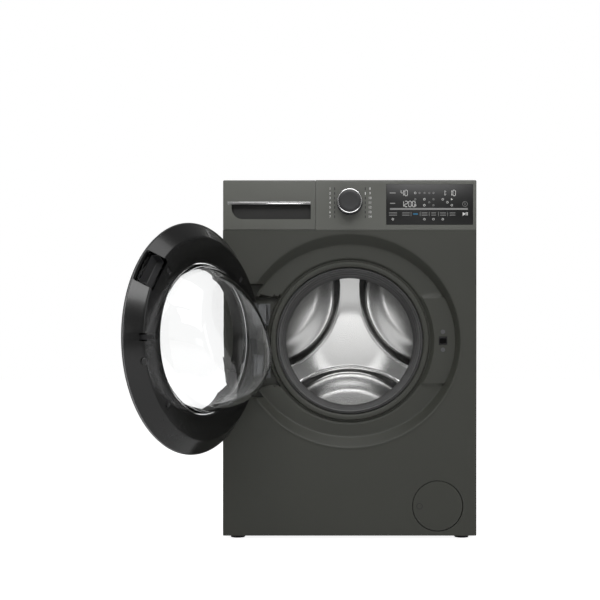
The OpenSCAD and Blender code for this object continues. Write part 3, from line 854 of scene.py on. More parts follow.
    def sink_pocket(self, dish: bpy.types.Object) -> None:
        """Sinks the pocket into which the edge of the open door swings.

        Args:
            dish: the pressed dish, which is changed.
        """
        self.bisect_heights(dish, (self.pocket_half, self.pocket_half + self.pocket_slope), False)
        with Bench.edit(dish) as mesh:
            for vert in mesh.verts:
                radius = math.hypot(vert.co.x, vert.co.z - AXIS_Z)
                level = abs(vert.co.z - AXIS_Z) <= (self.pocket_half + 0.1) * MM
                deep = vert.co.y > FRONT + (self.floor - 3) * MM
                vert.select = vert.co.x < 0 and level and deep and radius > 0.1975
            bpy.ops.transform.resize(value=(1, 0, 1), center_override=(0, FRONT + self.pocket * MM, 0))

    def lock_frame(self) -> None:
        """The moulded frame of the lock behind the hole, with a narrower slot."""
        x = self.lock_x
        frame_piece = Bench.block("lock_frame", (x - 9.6, 19.6, 460.4), (x + 9.6, 25, 479.6), 1.0)
        Bench.cut(frame_piece, Bench.block("slot", (x - 8, 10, 463.8), (x + 8.2, 60, 476.2), 1.2))
        Bench.cut(frame_piece, Bench.block("notch", (x - 4, 10, 462.5), (x + 2, 60, 470.0), 0.8))
        finish_piece(frame_piece, BLACK_PLASTIC, "cabinet")


@dataclass
class Gasket:
    """Grey rubber bellows between the panel's mouth and the tub, in mm."""

    lip: float = 165.5
    throat: float = 157.8

    def build(self) -> None:
        """Makes the closed section and mounts it on no moving body."""
        rings = round_rings((
            (self.lip, 27.0), (166.4, 25.2), (168.5, 24.2), (171.5, 24.6), (173.8, 26.8), (175.2, 28.5),
            (175.8, 30.5), (176.2, 36.5), (179.6, 38.0), (180.6, 41.0), (179.0, 43.6), (172.6, 45.6),
            (170.5, 50.0), (172.0, 56.0), (180.0, 63.0), (182.4, 69.0), (181.6, 76.0), (173.0, 82.0),
            (170.6, 86.0), (173.0, 92.0), (182.6, 97.6), (183.6, 101.0), (183.0, 105.0), (170.0, 106.2),
            (self.throat + 2.6, 128.6), (self.throat + 1.6, 131.0), (self.throat + 0.2, 131.6),
            (self.throat - 0.8, 130.6), (self.throat, 128.0), (161.5, 108.0), (162.4, 92.0), (163.0, 80.0),
            (172.0, 72.8), (172.6, 70.0), (171.0, 67.0), (162.8, 60.0), (163.6, 46.0), (166.8, 41.0),
            (167.4, 37.0), (166.0, 31.0), (self.lip, 27.0)))
        bellows = Bench.loft("door_bellows", rings, segments=160, closed=True)
        finish_piece(bellows, GREY_RUBBER, "", ["door_gasket"], 60)
        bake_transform(bellows)
        drain = Bench.join("bellows_mouth_rim", [Bench.loft("rim", [
            round_ring(169.2 + 1.1 * math.cos(a), 23.4 + 1.1 * math.sin(a))
            for a in [math.radians(step * 45) for step in range(9)]], segments=160, closed=True)])
        finish_piece(drain, BLACK_RUBBER, "cabinet", angle=60)


def pressed_depth(x: float, z: float) -> float:
    """Depth of the drum's back behind its plateau at a place in mm from the axis.

    Args:
        x: distance across.
        z: distance up.

    Returns:
        Millimetres behind the plateau; less than zero is towards the door.
    """
    flat, spread, pocket_radius = 74.0, 285.7, 220.0
    dish = -0.0016 * max(0.0, math.hypot(x, z) - flat) ** 2
    total = dish
    for direction in (270, 30, 150):
        cx, cz = spread * math.cos(math.radians(direction)), spread * math.sin(math.radians(direction))
        inside = pocket_radius - math.hypot(x - cx, z - cz)
        if inside <= -5:
            continue
        if inside < 2:
            share = (inside + 5) / 7
            total -= 1.2 * math.sin(math.pi * share) ** 2
        drop = min(1.0, max(0.0, inside / 17.0))
        total += 9.0 * drop * drop * (3 - 2 * drop) - dish * drop
        if inside > 17:
            crown = min(1.0, (inside - 17) / 52.0)
            total -= 7.5 * math.sin(crown * math.pi / 2) ** 2
    return total


@dataclass
class Drum:
    """Stainless drum: its pressed back and its lifters, in mm."""

    back: float = 425.5
    outer: float = 238.0

    def build(self) -> None:
        """Makes the back and the three lifters."""
        self.pressed_back()
        self.lifters()

    def pressed_back(self) -> None:
        """The back with three lens-shaped pockets between three arms."""
        radii = [step * 2.6 for step in range(77, 0, -1)]
        rings = [round_ring(self.outer, self.back - 12), round_ring(self.outer - 1.0, self.back - 5)]
        rings += [round_ring(233, self.back - 1.5), round_ring(222, self.back), round_ring(210, self.back)]
        rings += [round_ring(radius, self.back) for radius in radii] + [Ring(0, 0, self.back)]
        back = Bench.loft("drum_pressed_back", rings, segments=240)
        for vert in back.data.vertices:
            x, z = vert.co.x / MM, (vert.co.z - AXIS_Z) / MM
            radius = math.hypot(x, z)
            if radius < 221:
                fade = min(1.0, max(0.0, (221 - radius) / 14))
                vert.co.y += pressed_depth(x, z) * fade * MM
        Bench.thicken(back, 0.8, 1.0)
        Bench.flip_out(back)
        finish_piece(back, STAINLESS, "drum", ["drum_back"], 75)

    def lifters(self) -> None:
        """Three hollow ridges along the drum, rounded over their crests."""
        for index, angle in enumerate((30, 150, 270)):
            ridge = Bench.block(f"drum_lifter_{index + 1}", (-34, 150, 470 - 237.6), (34, 415, 470 - 196))
            with Bench.edit(ridge, "FACE") as mesh:
                for face in mesh.faces:
                    face.select = face.normal.z > 0.9
                centre = (0, FRONT + 0.2825, AXIS_Z - 0.196)
                bpy.ops.transform.resize(value=(0.42, 0.88, 1), center_override=centre)
            Bench.ease(ridge, 9, 5, 30)
            Bench.turn(ridge, about(0, AXIS_Z, -angle))
            finish_piece(ridge, STAINLESS, "drum", ["drum_lifters"] if index == 0 else ())


# ---------------------------------------------------------------- door


@dataclass
class Door:
    """Round door: front ring, bright edge, glossy back ring, clear bowl and fittings, in mm."""

    joint: dict = field(default_factory=lambda: next(j for j in frame["joints"] if j["name"] == "door_swing"))

    def opened(self) -> Matrix:
        """The turn from the closed door to the door as it stands.

        Returns:
            The turn as a matrix.
        """
        hinge = Vector(self.joint["pos_m"])
        angle = math.radians(max(self.joint["range_deg"]))
        return (Matrix.Translation(hinge) @ Matrix.Rotation(-angle, 4, "Z") @ Matrix.Translation(-hinge))

    def mount(self, piece: bpy.types.Object, finish: Finish | ClearGlass,
              replaced: Sequence[str] = (), angle: float = 32.0) -> None:
        """Opens a piece made on the closed door and finishes it."""
        Bench.turn(piece, self.opened())
        finish_piece(piece, finish, "door", replaced, angle)

    def build(self) -> None:
        """Makes every piece of the door."""
        self.front_ring()
        self.edge_ring()
        self.back_ring()
        self.bowl()
        self.fittings()

    def front_ring(self) -> None:
        """The crowned front ring and the tube that seats the glass."""
        outline = ((163, -24), (164.2, -26), (167, -26.8), (172, -27), (200, -27), (228, -27), (238, -25.8),
                   (245.4, -22.2), (250.6, -18.6), (252, -15.4), (251, -15.2), (245.4, -15.2), (242, -18.5),
                   (227, -23.5), (171, -23.5), (166, -21), (166, 4), (163, 4), (163, -24))
        ring = Bench.loft("door_front_ring", round_rings(outline), segments=160, closed=True)
        self.mount(ring, BLACK_GLOSS, ["door_outer_ring"], 40)

    def edge_ring(self) -> None:
        """The thin bright edge between both rings."""
        outline = ((246, -15), (252.2, -15), (252.9, -14.6), (253, -14), (252.9, -13.4), (252.2, -13),
                   (246, -13), (246, -15))
        ring = Bench.loft("door_edge_trim", round_rings(outline), segments=160, closed=True)
        self.mount(ring, RING_TRIM, ["door_trim_ring"], 50)

    def back_ring(self) -> None:
        """The glossy back ring with its grip, clip pockets, hook slot and hinge slots."""
        outline = ((250.6, -12.8), (249.4, -11.2), (224.6, 11.2), (223, 13.2), (220, 14.7), (217, 15),
                   (190, 15), (169, 15), (166.8, 14.6), (166, 13.4), (166, 12), (190, 12), (219, 12),
                   (244.5, -12.8),
                   (250.6, -12.8))
        ring = Bench.loft("door_back_ring", round_rings(outline), segments=192, closed=True)
        for sign in (-1, 1):
            low, high = (-247, -14, 470 + sign * 63 - 28), (-191, 22, 470 + sign * 63 + 28)
            Bench.cut(ring, Bench.block("hinge_slot", low, high, 3))
        Bench.cut(ring, Bench.block("knuckle_slot", (-247, -14, 470 - 42), (-213, 22, 470 + 42), 2))
        Bench.cut(ring, Bench.block("hook_slot", (211, 0, 462), (228, 22, 478), 2))
        for turn in (45, 135, 225, 315):
            pocket = Bench.block("clip_pocket", (186, 12.8, 464), (204, 20, 476), 1)
            Bench.turn(pocket, about(0, AXIS_Z, turn))
            Bench.cut(ring, pocket)
        grip = Bench.block("grip_cut", (207, -12.5, 430), (262, 30, 510), 3)
        Bench.turn(grip, about(0, AXIS_Z, 37))
        Bench.cut(ring, grip)
        self.mount(ring, BLACK_GLOSS, ["door_inner_ring"], 35)

    def bowl(self) -> None:
        """The clear bowl: its end is tilted, deepest towards the bottom."""
        wall = [(177, 5), (177, 11), (163.5, 11.5), (161.5, 15), (157.5, 35), (151.5, 60), (144.5, 82),
                (138.5, 96), (135.5, 102), (132, 106.5), (127, 110), (120, 112.3), (90, 114.2), (60, 115),
                (30, 115), (0, 115)]
        skin = [(0, 110.5), (30, 110.5), (60, 110.4), (90, 109.6), (116, 107.6), (123, 105), (128, 101),
                (131, 96),
                (139.5, 79), (146.5, 57), (152.5, 33), (156, 14), (157, 5), (177, 5)]
        outside = Bench.loft("glass_outside", round_rings(wall), segments=160)
        inside = Bench.loft("glass_inside", round_rings(reversed(skin[:-1])), segments=160)
        flange = Bench.loft("glass_flange", [round_ring(157, 5), round_ring(177, 5)], segments=160)
        glass = Bench.join("door_bowl", [outside, inside, flange])
        for vert in glass.data.vertices:
            depth = (vert.co.y - FRONT) / MM
            if depth <= 18:
                continue
            height = (vert.co.z - AXIS_Z) / MM
            share = (depth - 18) / 98
            lift = max(0.0, (height + 60) / 200)
            vert.co.y -= 62 * MM * share * lift ** 1.35
            vert.co.x *= 1 - 0.02 * share
        Bench.flip_out(glass)
        self.mount(glass, GLASS, ["door_glass"], 60)

    def fittings(self) -> None:
        """The grip insert, rubber buffer and clip tongues."""
        grip = Bench.block("door_grip_cup", (208, -11.5, 431), (232, 8, 509), 2)
        Bench.cut(grip, Bench.block("cup", (210.5, -9, 433.5), (250, 30, 506.5), 2))
        Bench.turn(grip, about(0, AXIS_Z, 37))
        self.mount(grip, BLACK_PLASTIC)
        buffer = Bench.loft("door_buffer", round_rings((
            (8.5, 14.6), (8.5, 15.1), (7.8, 16.1), (6, 16.8), (3, 17.1), (0, 17.2))), 220, 420, 40)
        self.mount(buffer, BLACK_RUBBER, angle=70)
        tongues = []
        for turn in (45, 135, 225, 315):
            tongue = Bench.block("tongue", (189, 11.8, 466.5), (200, 14.2, 473.5), 0.6)
            Bench.turn(tongue, about(0, AXIS_Z, turn))
            tongues.append(tongue)
        self.mount(Bench.join("door_clip_tongues", tongues), BLACK_PLASTIC)


# ---------------------------------------------------------------- controls


@dataclass
class Fascia:
    """Moulded fascia with its marks, touch panel and knob, in mm."""

    left: float = -80.6
    right: float = 300.0
    low: float = 732.0
    high: float = 850.0
    knob_z: float = 797.0
    panel: tuple[float, float, float, float] = (86.5, 291.5, 744.0, 840.0)

    def build(self) -> None:
        """Makes the shell, the panel, the knob and every mark."""
        self.shell()
        self.touch_panel()
        self.display()
        self.ticks()
        self.knob()

    def shell(self) -> None:
        """The shell with rounded edges, open at the back, and the frame behind the drawer front."""
        face = Bench.block("fascia_face", (self.left, 0, self.low), (self.right, 24, self.high))
        with Bench.edit(face, "EDGE") as mesh:
            for edge in mesh.edges:
                ends = [vert.co for vert in edge.verts]
                front = all(co.y < FRONT + 0.001 for co in ends)
                high = all(co.z > (self.high - 1) * MM for co in ends)
                right = all(co.x > (self.right - 1) * MM for co in ends)
                edge.select = (front and (high or right)) or (high and right)
            bpy.ops.mesh.bevel(offset=3.2 * MM, segments=5, affect="EDGES")
        wall = 2.5
        inner = Bench.block("inside", (self.left + wall, 3, self.low + wall),
                            (self.right - wall, 30, self.high - wall))
        x0, x1, z0, z1 = self.panel
        hole = Bench.block("panel_hole", (x0 - 0.3, -5, z0 - 0.3), (x1 + 0.3, 10, z1 + 0.3))
        Bench.cut(face, inner, hole, Bench.block("panel_notch", (285.4, 15.5, 731), (301, 40, 830)),
                  Bench.bar("shaft_hole", 6, -5, 10, 0, self.knob_z))
        back = Bench.block("drawer_frame", (-298.3, 21.2, self.low), (-80.8, 24, self.high))
        Bench.cut(back, Bench.block("drawer_way", (-287, 10, 745), (-93, 40, 812), 1))
        shell = Bench.join("fascia_shell", [face, back])
        finish_piece(shell, FASCIA_PAINT, "cabinet", ["control_fascia"])

    def touch_panel(self) -> None:
        """The black glass plate with softened edges."""
        x0, x1, z0, z1 = self.panel
        plate = Bench.block("touch_glass", (x0, -0.3, z0), (x1, 3.2, z1), 0.4, 2)
        finish_piece(plate, PANEL_GLASS, "cabinet", ["touch_panel"])

    def ticks(self) -> None:
        """Two columns of seven marks with plain numbers."""
        black, white = [], []
        for index in range(7):
            z = 829.0 - 11.04 * index
            for x, out in ((-35.5, -1), (37.0, 1)):
                lit = index == 1 and out > 0
                mark = Bench.block("tick", (x - 1, -0.25, z - 3.2), (x + 1, 0.2, z + 3.2), 0.2, 1)
                (white if lit else black).append(mark)
                number = index + 1 if out < 0 else index + 8
                white.append(Bench.figure("number", str(number), x + out * 11, z, 8.0, -0.15))
        finish_piece(Bench.join("fascia_ticks", black), BLACK_PRINT, "cabinet")
        finish_piece(Bench.join("fascia_numbers", white), WHITE_PRINT, "cabinet")

    def stroke(self, x: float, z: float, wide: float, high: float) -> bpy.types.Object:
        """One thin raised stroke on the touch panel."""
        low, top = (x - wide / 2, -0.42, z - high / 2), (x + wide / 2, -0.2, z + high / 2)
        return Bench.block("stroke", low, top, 0.08, 1)

    def digit(self, number: str, x: float, z: float) -> list[bpy.types.Object]:
        """Seven-segment strokes of one figure, centred at a place.

        Args:
            number: the figure, as a character.
            x: place across, mm.
            z: height, mm.

        Returns:
            The strokes that are lit.
        """
        half_w, half_h, pen = 3.1, 6.6, 1.3
        bars = {"a": (0, half_h, 1), "d": (0, -half_h, 1), "g": (0, 0, 1), "f": (-half_w, half_h / 2, 0),
                "b": (half_w, half_h / 2, 0), "e": (-half_w, -half_h / 2, 0), "c": (half_w, -half_h / 2, 0)}
        lit = {"0": "abcdef", "1": "bc", "2": "abged", "4": "fgbc"}[number]
        strokes = []
        for key in lit:
            dx, dz, level = bars[key]
            wide, high = (2 * half_w - pen, pen) if level else (pen, half_h - pen)
            strokes.append(self.stroke(x + dx, z + dz, wide, high))
        return strokes

    def display(self) -> None:
        """Figures, bar, key marks and icons on the touch panel."""
        bright: list[bpy.types.Object] = []
        dim: list[bpy.types.Object] = []
        for text, x, z in (("40", 124.5, 819), ("1200", 124.5, 793), ("1", 222, 819), ("10", 238, 819)):
            for place, number in enumerate(text):
                bright += self.digit(number, x + 9.0 * place, z)
        bright += [self.stroke(227.5, 819 + dz, 1.2, 1.2) for dz in (-3, 3)]
        dim.append(self.stroke(187.2, 781.2, 184, 4.2))
        for x in (145.0, 166.6, 188.0, 209.8, 231.5):
            dim.append(self.stroke(x, 769.2, 1.0, 10))
        for x, key in ((102.5, 19), (133, 17), (177, 14), (198.5, 11), (220.5, 14), (243, 13)):
            dim += [self.stroke(x, 769.2 + dz, key, 1.6) for dz in (-2.6, 2.6)]
        for x, z, wide in ((101.5, 819, 14), (101.5, 794.5, 12)):
            dim.append(self.stroke(x, z, wide, 2.6))
        for x, z in ((176.5, 757), (198, 757), (220, 757), (102, 757), (176.5, 804), (176.5, 790), (155, 790),
                     (155, 819), (220, 804), (231, 797), (241.5, 790)):
            bright.append(self.icon(x, z, 2.6))
        for x, z in ((165, 819), (177, 819), (188, 819), (198, 819), (155, 804), (188, 797), (198, 804),
                     (198, 790)):
            dim.append(self.icon(x, z, 2.2))
        bright += self.play(272.5, 769.5)
        bright.append(self.triangle(241, 804, 5.2))
        dim.append(self.power(272.5, 793))
        finish_piece(Bench.join("display_figures", bright), WHITE_PRINT, "cabinet")
        finish_piece(Bench.join("display_marks", dim), GREY_PRINT, "cabinet")
        blue = Bench.join("display_blue_key", [self.stroke(155.5, 769.2, 11, 2.8)])
        finish_piece(blue, BLUE_PRINT, "cabinet")

    def icon(self, x: float, z: float, radius: float) -> bpy.types.Object:
        """A small ring mark."""
        outline = ((radius, -0.4), (radius, -0.2), (radius - 0.9, -0.2), (radius - 0.9, -0.4), (radius, -0.4))
        return Bench.loft("icon", round_rings(outline), x, z, 16, True)

    def triangle(self, x: float, z: float, size: float) -> bpy.types.Object:
        """A solid arrowhead pointing right.

        Args:
            x: place across, mm.
            z: height, mm.
            size: size in mm.

        Returns:
            The arrowhead.
        """
        Bench.clear()
        bpy.ops.mesh.primitive_cylinder_add(vertices=3, radius=size * 0.6 * MM, depth=0.0002,
                                            location=(x * MM, FRONT - 0.0003, z * MM))
        piece = Bench.named("arrow")
        piece.rotation_euler = (math.pi / 2, math.pi / 2, 0)
        Bench.settle(piece)
        return piece

    def play(self, x: float, z: float) -> list[bpy.types.Object]:
        """The start and pause mark."""
        return [self.triangle(x - 3, z, 8), *(self.stroke(x + out, z, 1.6, 7.4) for out in (2.6, 5.6))]

    def power(self, x: float, z: float) -> bpy.types.Object:
        """The on and off mark: a ring with a stroke.

        Args:
            x: place across, mm.
            z: height, mm.

        Returns:
            The mark.
        """
        outline = ((6.2, -0.4), (6.2, -0.2), (5.3, -0.2), (5.3, -0.4), (6.2, -0.4))
        ring = Bench.loft("power_ring", round_rings(outline), x, z, 32, True)
        return Bench.join("power", [ring, self.stroke(x, z, 1.1, 6)])

    def knob(self) -> None:
        """Knob with a dished face, a ribbed skirt and a bright ring."""
        outline = ((30.3, -0.6), (30.5, -1.2), (30.5, -3.6), (30.1, -4.0), (29.4, -4.2), (28.7, -5),
                   (28.2, -25.4), (27.9, -25.8), (26.0, -26.2), (25.9, -26.6), (25.5, -26.9), (18, -26.3),
                   (8, -25.9), (0, -25.8))
        skirt = Bench.loft("knob_skirt", round_rings(outline[:8]), 0, self.knob_z, 120)
        face = Bench.loft("knob_dial", round_rings(outline[7:]), 0, self.knob_z, 96)
        base = Bench.bar("knob_base", 29.6, -1.4, -0.6, 0, self.knob_z)
        with Bench.edit(skirt) as mesh:
            for vert in mesh.verts:
                turn = math.degrees(math.atan2(vert.co.z - self.knob_z * MM, vert.co.x)) % 360
                vert.select = round(turn / 3) % 2 == 0 and vert.co.y < FRONT - 0.0045
            bpy.ops.transform.resize(value=(0.985, 1, 0.985), center_override=(0, FRONT, self.knob_z * MM))
        finish_piece(Bench.join("knob_skirt", [skirt, base]), BLACK_PLASTIC, "knob")
        finish_piece(face, KNOB_FACE, "knob", ["program_knob"], 50)
        ring_outline = ((28.6, -25.6), (28.7, -26.8), (28.3, -27.4), (27.0, -27.5), (26.4, -27.1),
                        (26.2, -26.2), (28.6, -25.6))
        ring = Bench.loft("knob_ring", round_rings(ring_outline), 0, self.knob_z, 120, True)
        finish_piece(ring, CHROME, "knob", angle=60)


@dataclass
class DrawerFront:
    """Detergent drawer front with its scooped handle and bright strip, in mm."""

    left: float = -299.5
    right: float = -81.3
    low: float = 732.5
    high: float = 849.5
    scoop_low: float = 757.0
    scoop_high: float = 792.2

    def build(self) -> None:
        """Makes the front, the scoop lip and the strip."""
        front = Bench.block("drawer_face", (self.left, 0, self.low), (self.right, 20, self.high))
        with Bench.edit(front, "EDGE") as mesh:
            for edge in mesh.edges:
                ends = [vert.co for vert in edge.verts]
                near = all(co.y < FRONT + 0.001 for co in ends)
                high = all(co.z > (self.high - 1) * MM for co in ends)
                left = all(co.x < (self.left + 1) * MM for co in ends)
                edge.select = (near and (high or left)) or (high and left)
            bpy.ops.mesh.bevel(offset=3.2 * MM, segments=5, affect="EDGES")
        Bench.cut(front, self.scoop(), Bench.block("panel_notch", (-301, 15.5, 731), (-285.3, 22, 830)),
                  Bench.block("hollow", (-296, 3, 801), (-85, 18, 846), 2))
        finish_piece(front, FASCIA_PAINT, "drawer", ["drawer_front"])
        # painted shade: the faces inside the finger scoop get a near-black colour that stands in for the
        # shade in the hollow
        paint_inside(front, PAINTED_SHADE, (-281, 0.5, 752), (-91, 17, 793))
        strip = Bench.block("drawer_bright_strip", (-288.3, -0.9, 792.4), (-92.3, 1.6, 797.8), 0.7)
        finish_piece(strip, CHROME, "drawer", ["drawer_trim"])

    def scoop(self) -> bpy.types.Object:
        """The hollow for the fingers, round at its lower left.

        Returns:
            The tool that is cut out of the front.
        """
        tool = Bench.block("scoop", (-279, -6, self.scoop_low), (-92, 16, self.scoop_high))
        with Bench.edit(tool, "EDGE") as mesh:
            for edge in mesh.edges:
                ends = [vert.co for vert in edge.verts]
                low = all(co.z < (self.scoop_low + 1) * MM for co in ends)
                left = all(co.x < -0.27 for co in ends)
                edge.select = low and left
            bpy.ops.mesh.bevel(offset=26 * MM, segments=12, affect="EDGES")
        return tool


# ---------------------------------------------------------------- filter, feet, inner soft parts


@dataclass
class FilterFlap:
    """Round clip-on filter cover with a finger dimple, in mm."""

    x: float = 208.0
    z: float = 79.0
    radius: float = 58.6

    def build(self) -> None:
        """Makes the flap, its finger dimple and its three clip legs."""
        outline = ((self.radius, 2.9), (self.radius, 0.7), (self.radius - 0.3, 0.25),
                   (self.radius - 0.9, 0.05), (self.radius - 2, 0), (30, 0), (0, 0))
        skin = Bench.loft("flap_skin", round_rings(outline), self.x, self.z, 128)
        back = Bench.bar("flap_back", self.radius - 0.2, 2.0, 2.95, self.x, self.z, 128)
        flap = Bench.join("flap_shell", [skin, back])
        Bench.flip_out(flap)
        finish_piece(flap, CABINET_PAINT, "flap", ["filter_flap"])
        dimple = Bench.loft("flap_dimple", round_rings((
            (7.2, 0.05), (7.4, -0.25), (7.0, -0.45), (6.4, -0.4), (5.4, 0.2), (3.5, 1.2), (1.8, 1.7),
            (0, 1.8))),
            self.x - 43, self.z - 0.5, 48)
        # painted shade: the dimple's near-black colour stands in for the shade in its hollow
        finish_piece(dimple, PAINTED_SHADE, "flap", angle=60)
        legs = []
        for turn in (90, 210, 330):
            leg = Bench.block("leg", (self.x + 50, 2.9, self.z - 5), (self.x + 53, 13.8, self.z + 5), 0.5, 2)
            Bench.turn(leg, about(self.x * MM, self.z * MM, -turn))
            legs.append(leg)
        finish_piece(Bench.join("cover_clip_legs", legs), BLACK_PLASTIC, "flap")


@dataclass
class Feet:
    """Rubber-soled levelling feet, in mm."""

    names: tuple[str, ...] = ("front_left", "front_right", "rear_left", "rear_right")

    def build(self) -> None:
        """Makes each foot round its own stem."""
        for name in self.names:
            low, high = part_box(f"{name}_foot")
            x, y = (low[0] + high[0]) / 2 / MM, (low[1] + high[1]) / 2
            outline = ((0, 0.0), (13, 0.0), (16.2, 0.2), (17, 1.0), (17, 5.2), (16.4, 6.4), (14.6, 7.0),
                       (11.6, 7.2), (11, 7.6), (11, 9.8), (6.2, 9.9), (5.9, 10.6), (5.9, 41.4), (5.2, 42),
                       (0, 42))
            foot = self.turned(f"{name}_levelling_foot", outline, x, y)
            finish_piece(foot, BLACK_RUBBER, f"foot_{name}", [f"{name}_foot"], 40)

    @staticmethod
    def turned(name: str, outline: Sequence[tuple[float, float]], x: float, y: float) -> bpy.types.Object:
        """A solid turned about an upright axis from (radius, height) points.

        Args:
            name: what the piece is called.
            outline: (radius, height) points in mm, from the bottom.
            x: place across, mm.
            y: place along the depth, m.

        Returns:
            The turned solid.
        """
        Bench.clear()
        start = outline[1]
        bpy.ops.mesh.primitive_circle_add(vertices=48, radius=start[0] * MM,
                                          location=(x * MM, y, start[1] * MM), fill_type="NGON")
        piece = Bench.named(name)
        Bench.settle(piece)
        with Bench.edit(piece):
            bpy.ops.mesh.select_all(action="SELECT")
            last = start
            for radius, height in outline[2:]:
                if radius == 0:
                    bpy.ops.mesh.edge_face_add()
                    break
                move = (0, 0, (height - last[1]) * MM)
                bpy.ops.mesh.extrude_region_move(TRANSFORM_OT_translate={"value": move})
                scale = radius / last[0]
                bpy.ops.transform.resize(value=(scale, scale, 1), center_override=(x * MM, y, height * MM))
                last = (radius, height)
            bpy.ops.mesh.select_all(action="SELECT")
            bpy.ops.mesh.normals_make_consistent(inside=False)
        return piece


@dataclass
class SoftLinks:
    """Springs and bellows that stretch between the cabinet and the tub, in mm."""

    spring_x: float = 230.0
    support_ys: tuple[float, float] = (-20.0, 110.0)

    def build(self) -> None:
        """Makes the four coils and both convoluted hoses."""
        coils = [self.coil(side * self.spring_x, y) for side in (-1, 1) for y in self.support_ys]
        springs = Bench.join("support_springs", coils)
        finish_piece(springs, ZINC, "", ["suspension_springs"], 60)
        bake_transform(springs)
        self.bellows("sump_bellows", 150.0, -140.0, (104.2, 233.3), 21.5, 18.6, "sump_hose", False)
        self.bellows("fill_bellows", -150.0, -70.0, (713.2, 741.8), 18.2, 15.6, "fill_hose", True)

    @staticmethod
    def coil(x: float, y: float) -> bpy.types.Object:
        """One coil spring.

        Args:
            x: place across, mm.
            y: place along the depth, mm.

        Returns:
            The spring as a mesh.
        """
        Bench.clear()
        bpy.ops.curve.primitive_bezier_circle_add(radius=0.001)
        wire = bpy.context.active_object
        wire.data.splines.clear()
        spline = wire.data.splines.new("POLY")
        turns, steps, low, high, radius = 17, 16, 641.0, 803.0, 10.2
        spline.points.add(turns * steps)
        for index in range(turns * steps + 1):
            share = index / (turns * steps)
            angle = 2 * math.pi * turns * share
            place = (x + radius * math.cos(angle), y + radius * math.sin(angle), low + (high - low) * share)
            spline.points[index].co = (*[part * MM for part in place], 1)
        wire.data.bevel_depth = 1.6 * MM
        wire.data.bevel_resolution = 1
        wire.data.use_fill_caps = True
        Bench.hold(wire)
        bpy.ops.object.convert(target="MESH")
        return Bench.named("coil")

    @staticmethod
    def bellows(name: str, x: float, y: float, span: tuple[float, float], crest: float, root: float,
                node: str, tub_below: bool) -> None:
        """A convoluted hose with plain cuffs.

        Args:
            name: what the piece is called.
            x: place across, mm.
            y: place along the depth, mm.
            span: lowest and highest point, mm.
            crest: outer radius, mm.
            root: radius between the crests, mm.
            node: the CAD node that it stands for.
            tub_below: whether the tub end is the lower one; not used.
        """
        low, high = span
        count = int((high - low - 24) / 7)
        outline = [(0.0, low), (crest, low), (crest, low + 10)]
        for index in range(count):
            z = low + 12 + index * 7
            outline += [(root + 0.4, z + 1.2), (root + 0.4, z + 2.4), (crest, z + 4.4), (crest, z + 5.6)]
        outline += [(crest, high - 10), (crest, high), (root - 0.1, high), (root - 0.1, low + 0.2)]
        hose = Feet.turned(name, outline, x, y * MM)
        with Bench.edit(hose, "FACE") as mesh:
            for face in mesh.faces:
                face.select = len(face.verts) > 8
            bpy.ops.mesh.delete(type="FACE")
        finish_piece(hose, BLACK_RUBBER, "", [node], 50)
        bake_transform(hose)


# ---------------------------------------------------------------- studio


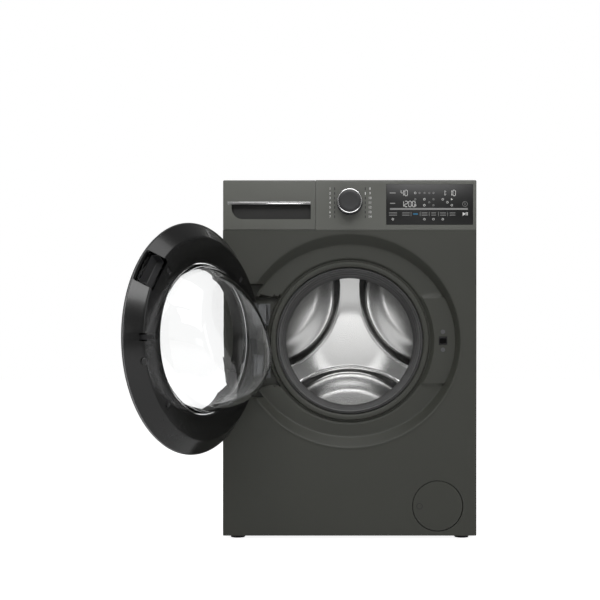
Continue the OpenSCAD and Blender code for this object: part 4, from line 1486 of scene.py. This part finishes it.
@dataclass
class Studio:
    """Plain pale floor, soft lights, white background and the camera."""

    distance: float = 2.6
    eye: float = 0.4242
    lens: float = 66.0

    def build(self) -> None:
        """Makes the floor, the world, the lamps and the camera."""
        self.world()
        self.floor()
        self.lamps()
        self.camera()

    @staticmethod
    def world() -> None:
        """White to the camera and through glass, softer as light."""
        world = bpy.data.worlds.new("studio")
        bpy.context.scene.world = world
        world.use_nodes = True
        tree = world.node_tree
        shade = tree.nodes["Background"]
        shade.inputs["Color"].default_value = (0.5, 0.5, 0.5, 1)
        shade.inputs["Strength"].default_value = 0.34
        white = tree.nodes.new("ShaderNodeBackground")
        white.inputs["Color"].default_value = (1, 1, 1, 1)
        white.inputs["Strength"].default_value = 1.0
        path = tree.nodes.new("ShaderNodeLightPath")
        seen = tree.nodes.new("ShaderNodeMath")
        seen.operation = "MAXIMUM"
        tree.links.new(path.outputs["Is Camera Ray"], seen.inputs[0])
        tree.links.new(path.outputs["Is Transmission Ray"], seen.inputs[1])
        mix = tree.nodes.new("ShaderNodeMixShader")
        tree.links.new(seen.outputs[0], mix.inputs["Fac"])
        tree.links.new(shade.outputs[0], mix.inputs[1])
        tree.links.new(white.outputs[0], mix.inputs[2])
        tree.links.new(mix.outputs[0], tree.nodes["World Output"].inputs["Surface"])

    @staticmethod
    def floor() -> None:
        """A wide pale floor that shows white and keeps the shadow."""
        Bench.clear()
        bpy.ops.mesh.primitive_plane_add(size=40, location=(0, 0, -0.0005))
        ground = Bench.named("studio_floor")
        made = bpy.data.materials.new("pale_floor")
        made.use_nodes = True
        tree = made.node_tree
        shader = tree.nodes["Principled BSDF"]
        shader.inputs["Base Color"].default_value = (0.86, 0.86, 0.86, 1)
        shader.inputs["Roughness"].default_value = 0.9
        glow = tree.nodes.new("ShaderNodeEmission")
        glow.inputs["Color"].default_value = (1, 1, 1, 1)
        path = tree.nodes.new("ShaderNodeLightPath")
        seen = tree.nodes.new("ShaderNodeMath")
        seen.operation = "MAXIMUM"
        amount = tree.nodes.new("ShaderNodeMath")
        amount.operation = "MULTIPLY"
        amount.inputs[1].default_value = 0.92
        tree.links.new(path.outputs["Is Camera Ray"], seen.inputs[0])
        tree.links.new(path.outputs["Is Transmission Ray"], seen.inputs[1])
        tree.links.new(seen.outputs[0], amount.inputs[0])
        tree.links.new(amount.outputs[0], glow.inputs["Strength"])
        both = tree.nodes.new("ShaderNodeAddShader")
        tree.links.new(shader.outputs[0], both.inputs[0])
        tree.links.new(glow.outputs[0], both.inputs[1])
        tree.links.new(both.outputs[0], tree.nodes["Material Output"].inputs["Surface"])
        ground.data.materials.append(made)

    @staticmethod
    def lamp(name: str, place: Sequence[float], target: Sequence[float], size: Sequence[float],
             power: float) -> None:
        """A soft rectangular lamp aimed at a point.

        Args:
            name: what the lamp is called.
            place: where the lamp hangs, m.
            target: the point it shines at, m.
            size: its width and height, m.
            power: its power in watts.
        """
        data = bpy.data.lights.new(name, "AREA")
        data.shape = "RECTANGLE"
        data.size, data.size_y = size
        data.energy = power
        lamp = bpy.data.objects.new(name, data)
        bpy.context.scene.collection.objects.link(lamp)
        lamp.location = place
        lamp.rotation_euler = (Vector(target) - Vector(place)).to_track_quat("-Z", "Y").to_euler()

    def lamps(self) -> None:
        """A large top light, a front fill and two sides."""
        self.lamp("top_light", (0, -1.2, 3.0), (0, -0.2, 0.4), (3.0, 2.0), 36)
        self.lamp("high_front", (0.2, -3.4, 3.0), (0, -0.27, 0.45), (3.2, 1.4), 70)
        self.lamp("front_card", (0, -4.1, 0.66), (0, 0, 0.5), (1.0, 0.5), 1.9)
        self.lamp("front_strip", (0, -4.1, 1.0), (0, 0, 0.5), (1.0, 0.16), 2.6)
        self.lamp("left_light", (-3.2, -1.6, 1.6), (0, 0, 0.5), (1.0, 2.2), 9)
        self.lamp("right_light", (3.2, -1.6, 1.6), (0, 0, 0.5), (1.0, 2.2), 14)

    def camera(self) -> None:
        """The camera straight in front at half height, with a small shift."""
        data = bpy.data.cameras.new("camera")
        data.lens = self.lens
        data.sensor_width = 36.0
        data.shift_x = -0.0828
        data.shift_y = 0.10
        eye = bpy.data.objects.new("camera", data)
        bpy.context.scene.collection.objects.link(eye)
        eye.location = (0, FRONT - self.distance, self.eye)
        eye.rotation_euler = (math.pi / 2, 0, 0)
        bpy.context.scene.camera = eye


def dress_frame() -> None:
    """Gives every carried-over CAD node its finish."""
    for name, finish in CAD_FINISHES.items():
        dress(frame["nodes"][name], finish)


def main() -> None:
    """Builds every sub-assembly in order."""
    logging.basicConfig(level=logging.INFO, format="%(name)s %(message)s")
    bpy.context.scene.view_settings.view_transform = "Standard"
    dress_frame()
    for assembly in (FrontPanel(), Gasket(), Drum(), Door(), Fascia(), DrawerFront(), FilterFlap(), Feet(),
                     SoftLinks(), Studio()):
        log.info("building %s", type(assembly).__name__)
        assembly.build()


if __name__ == "__main__":
    main()
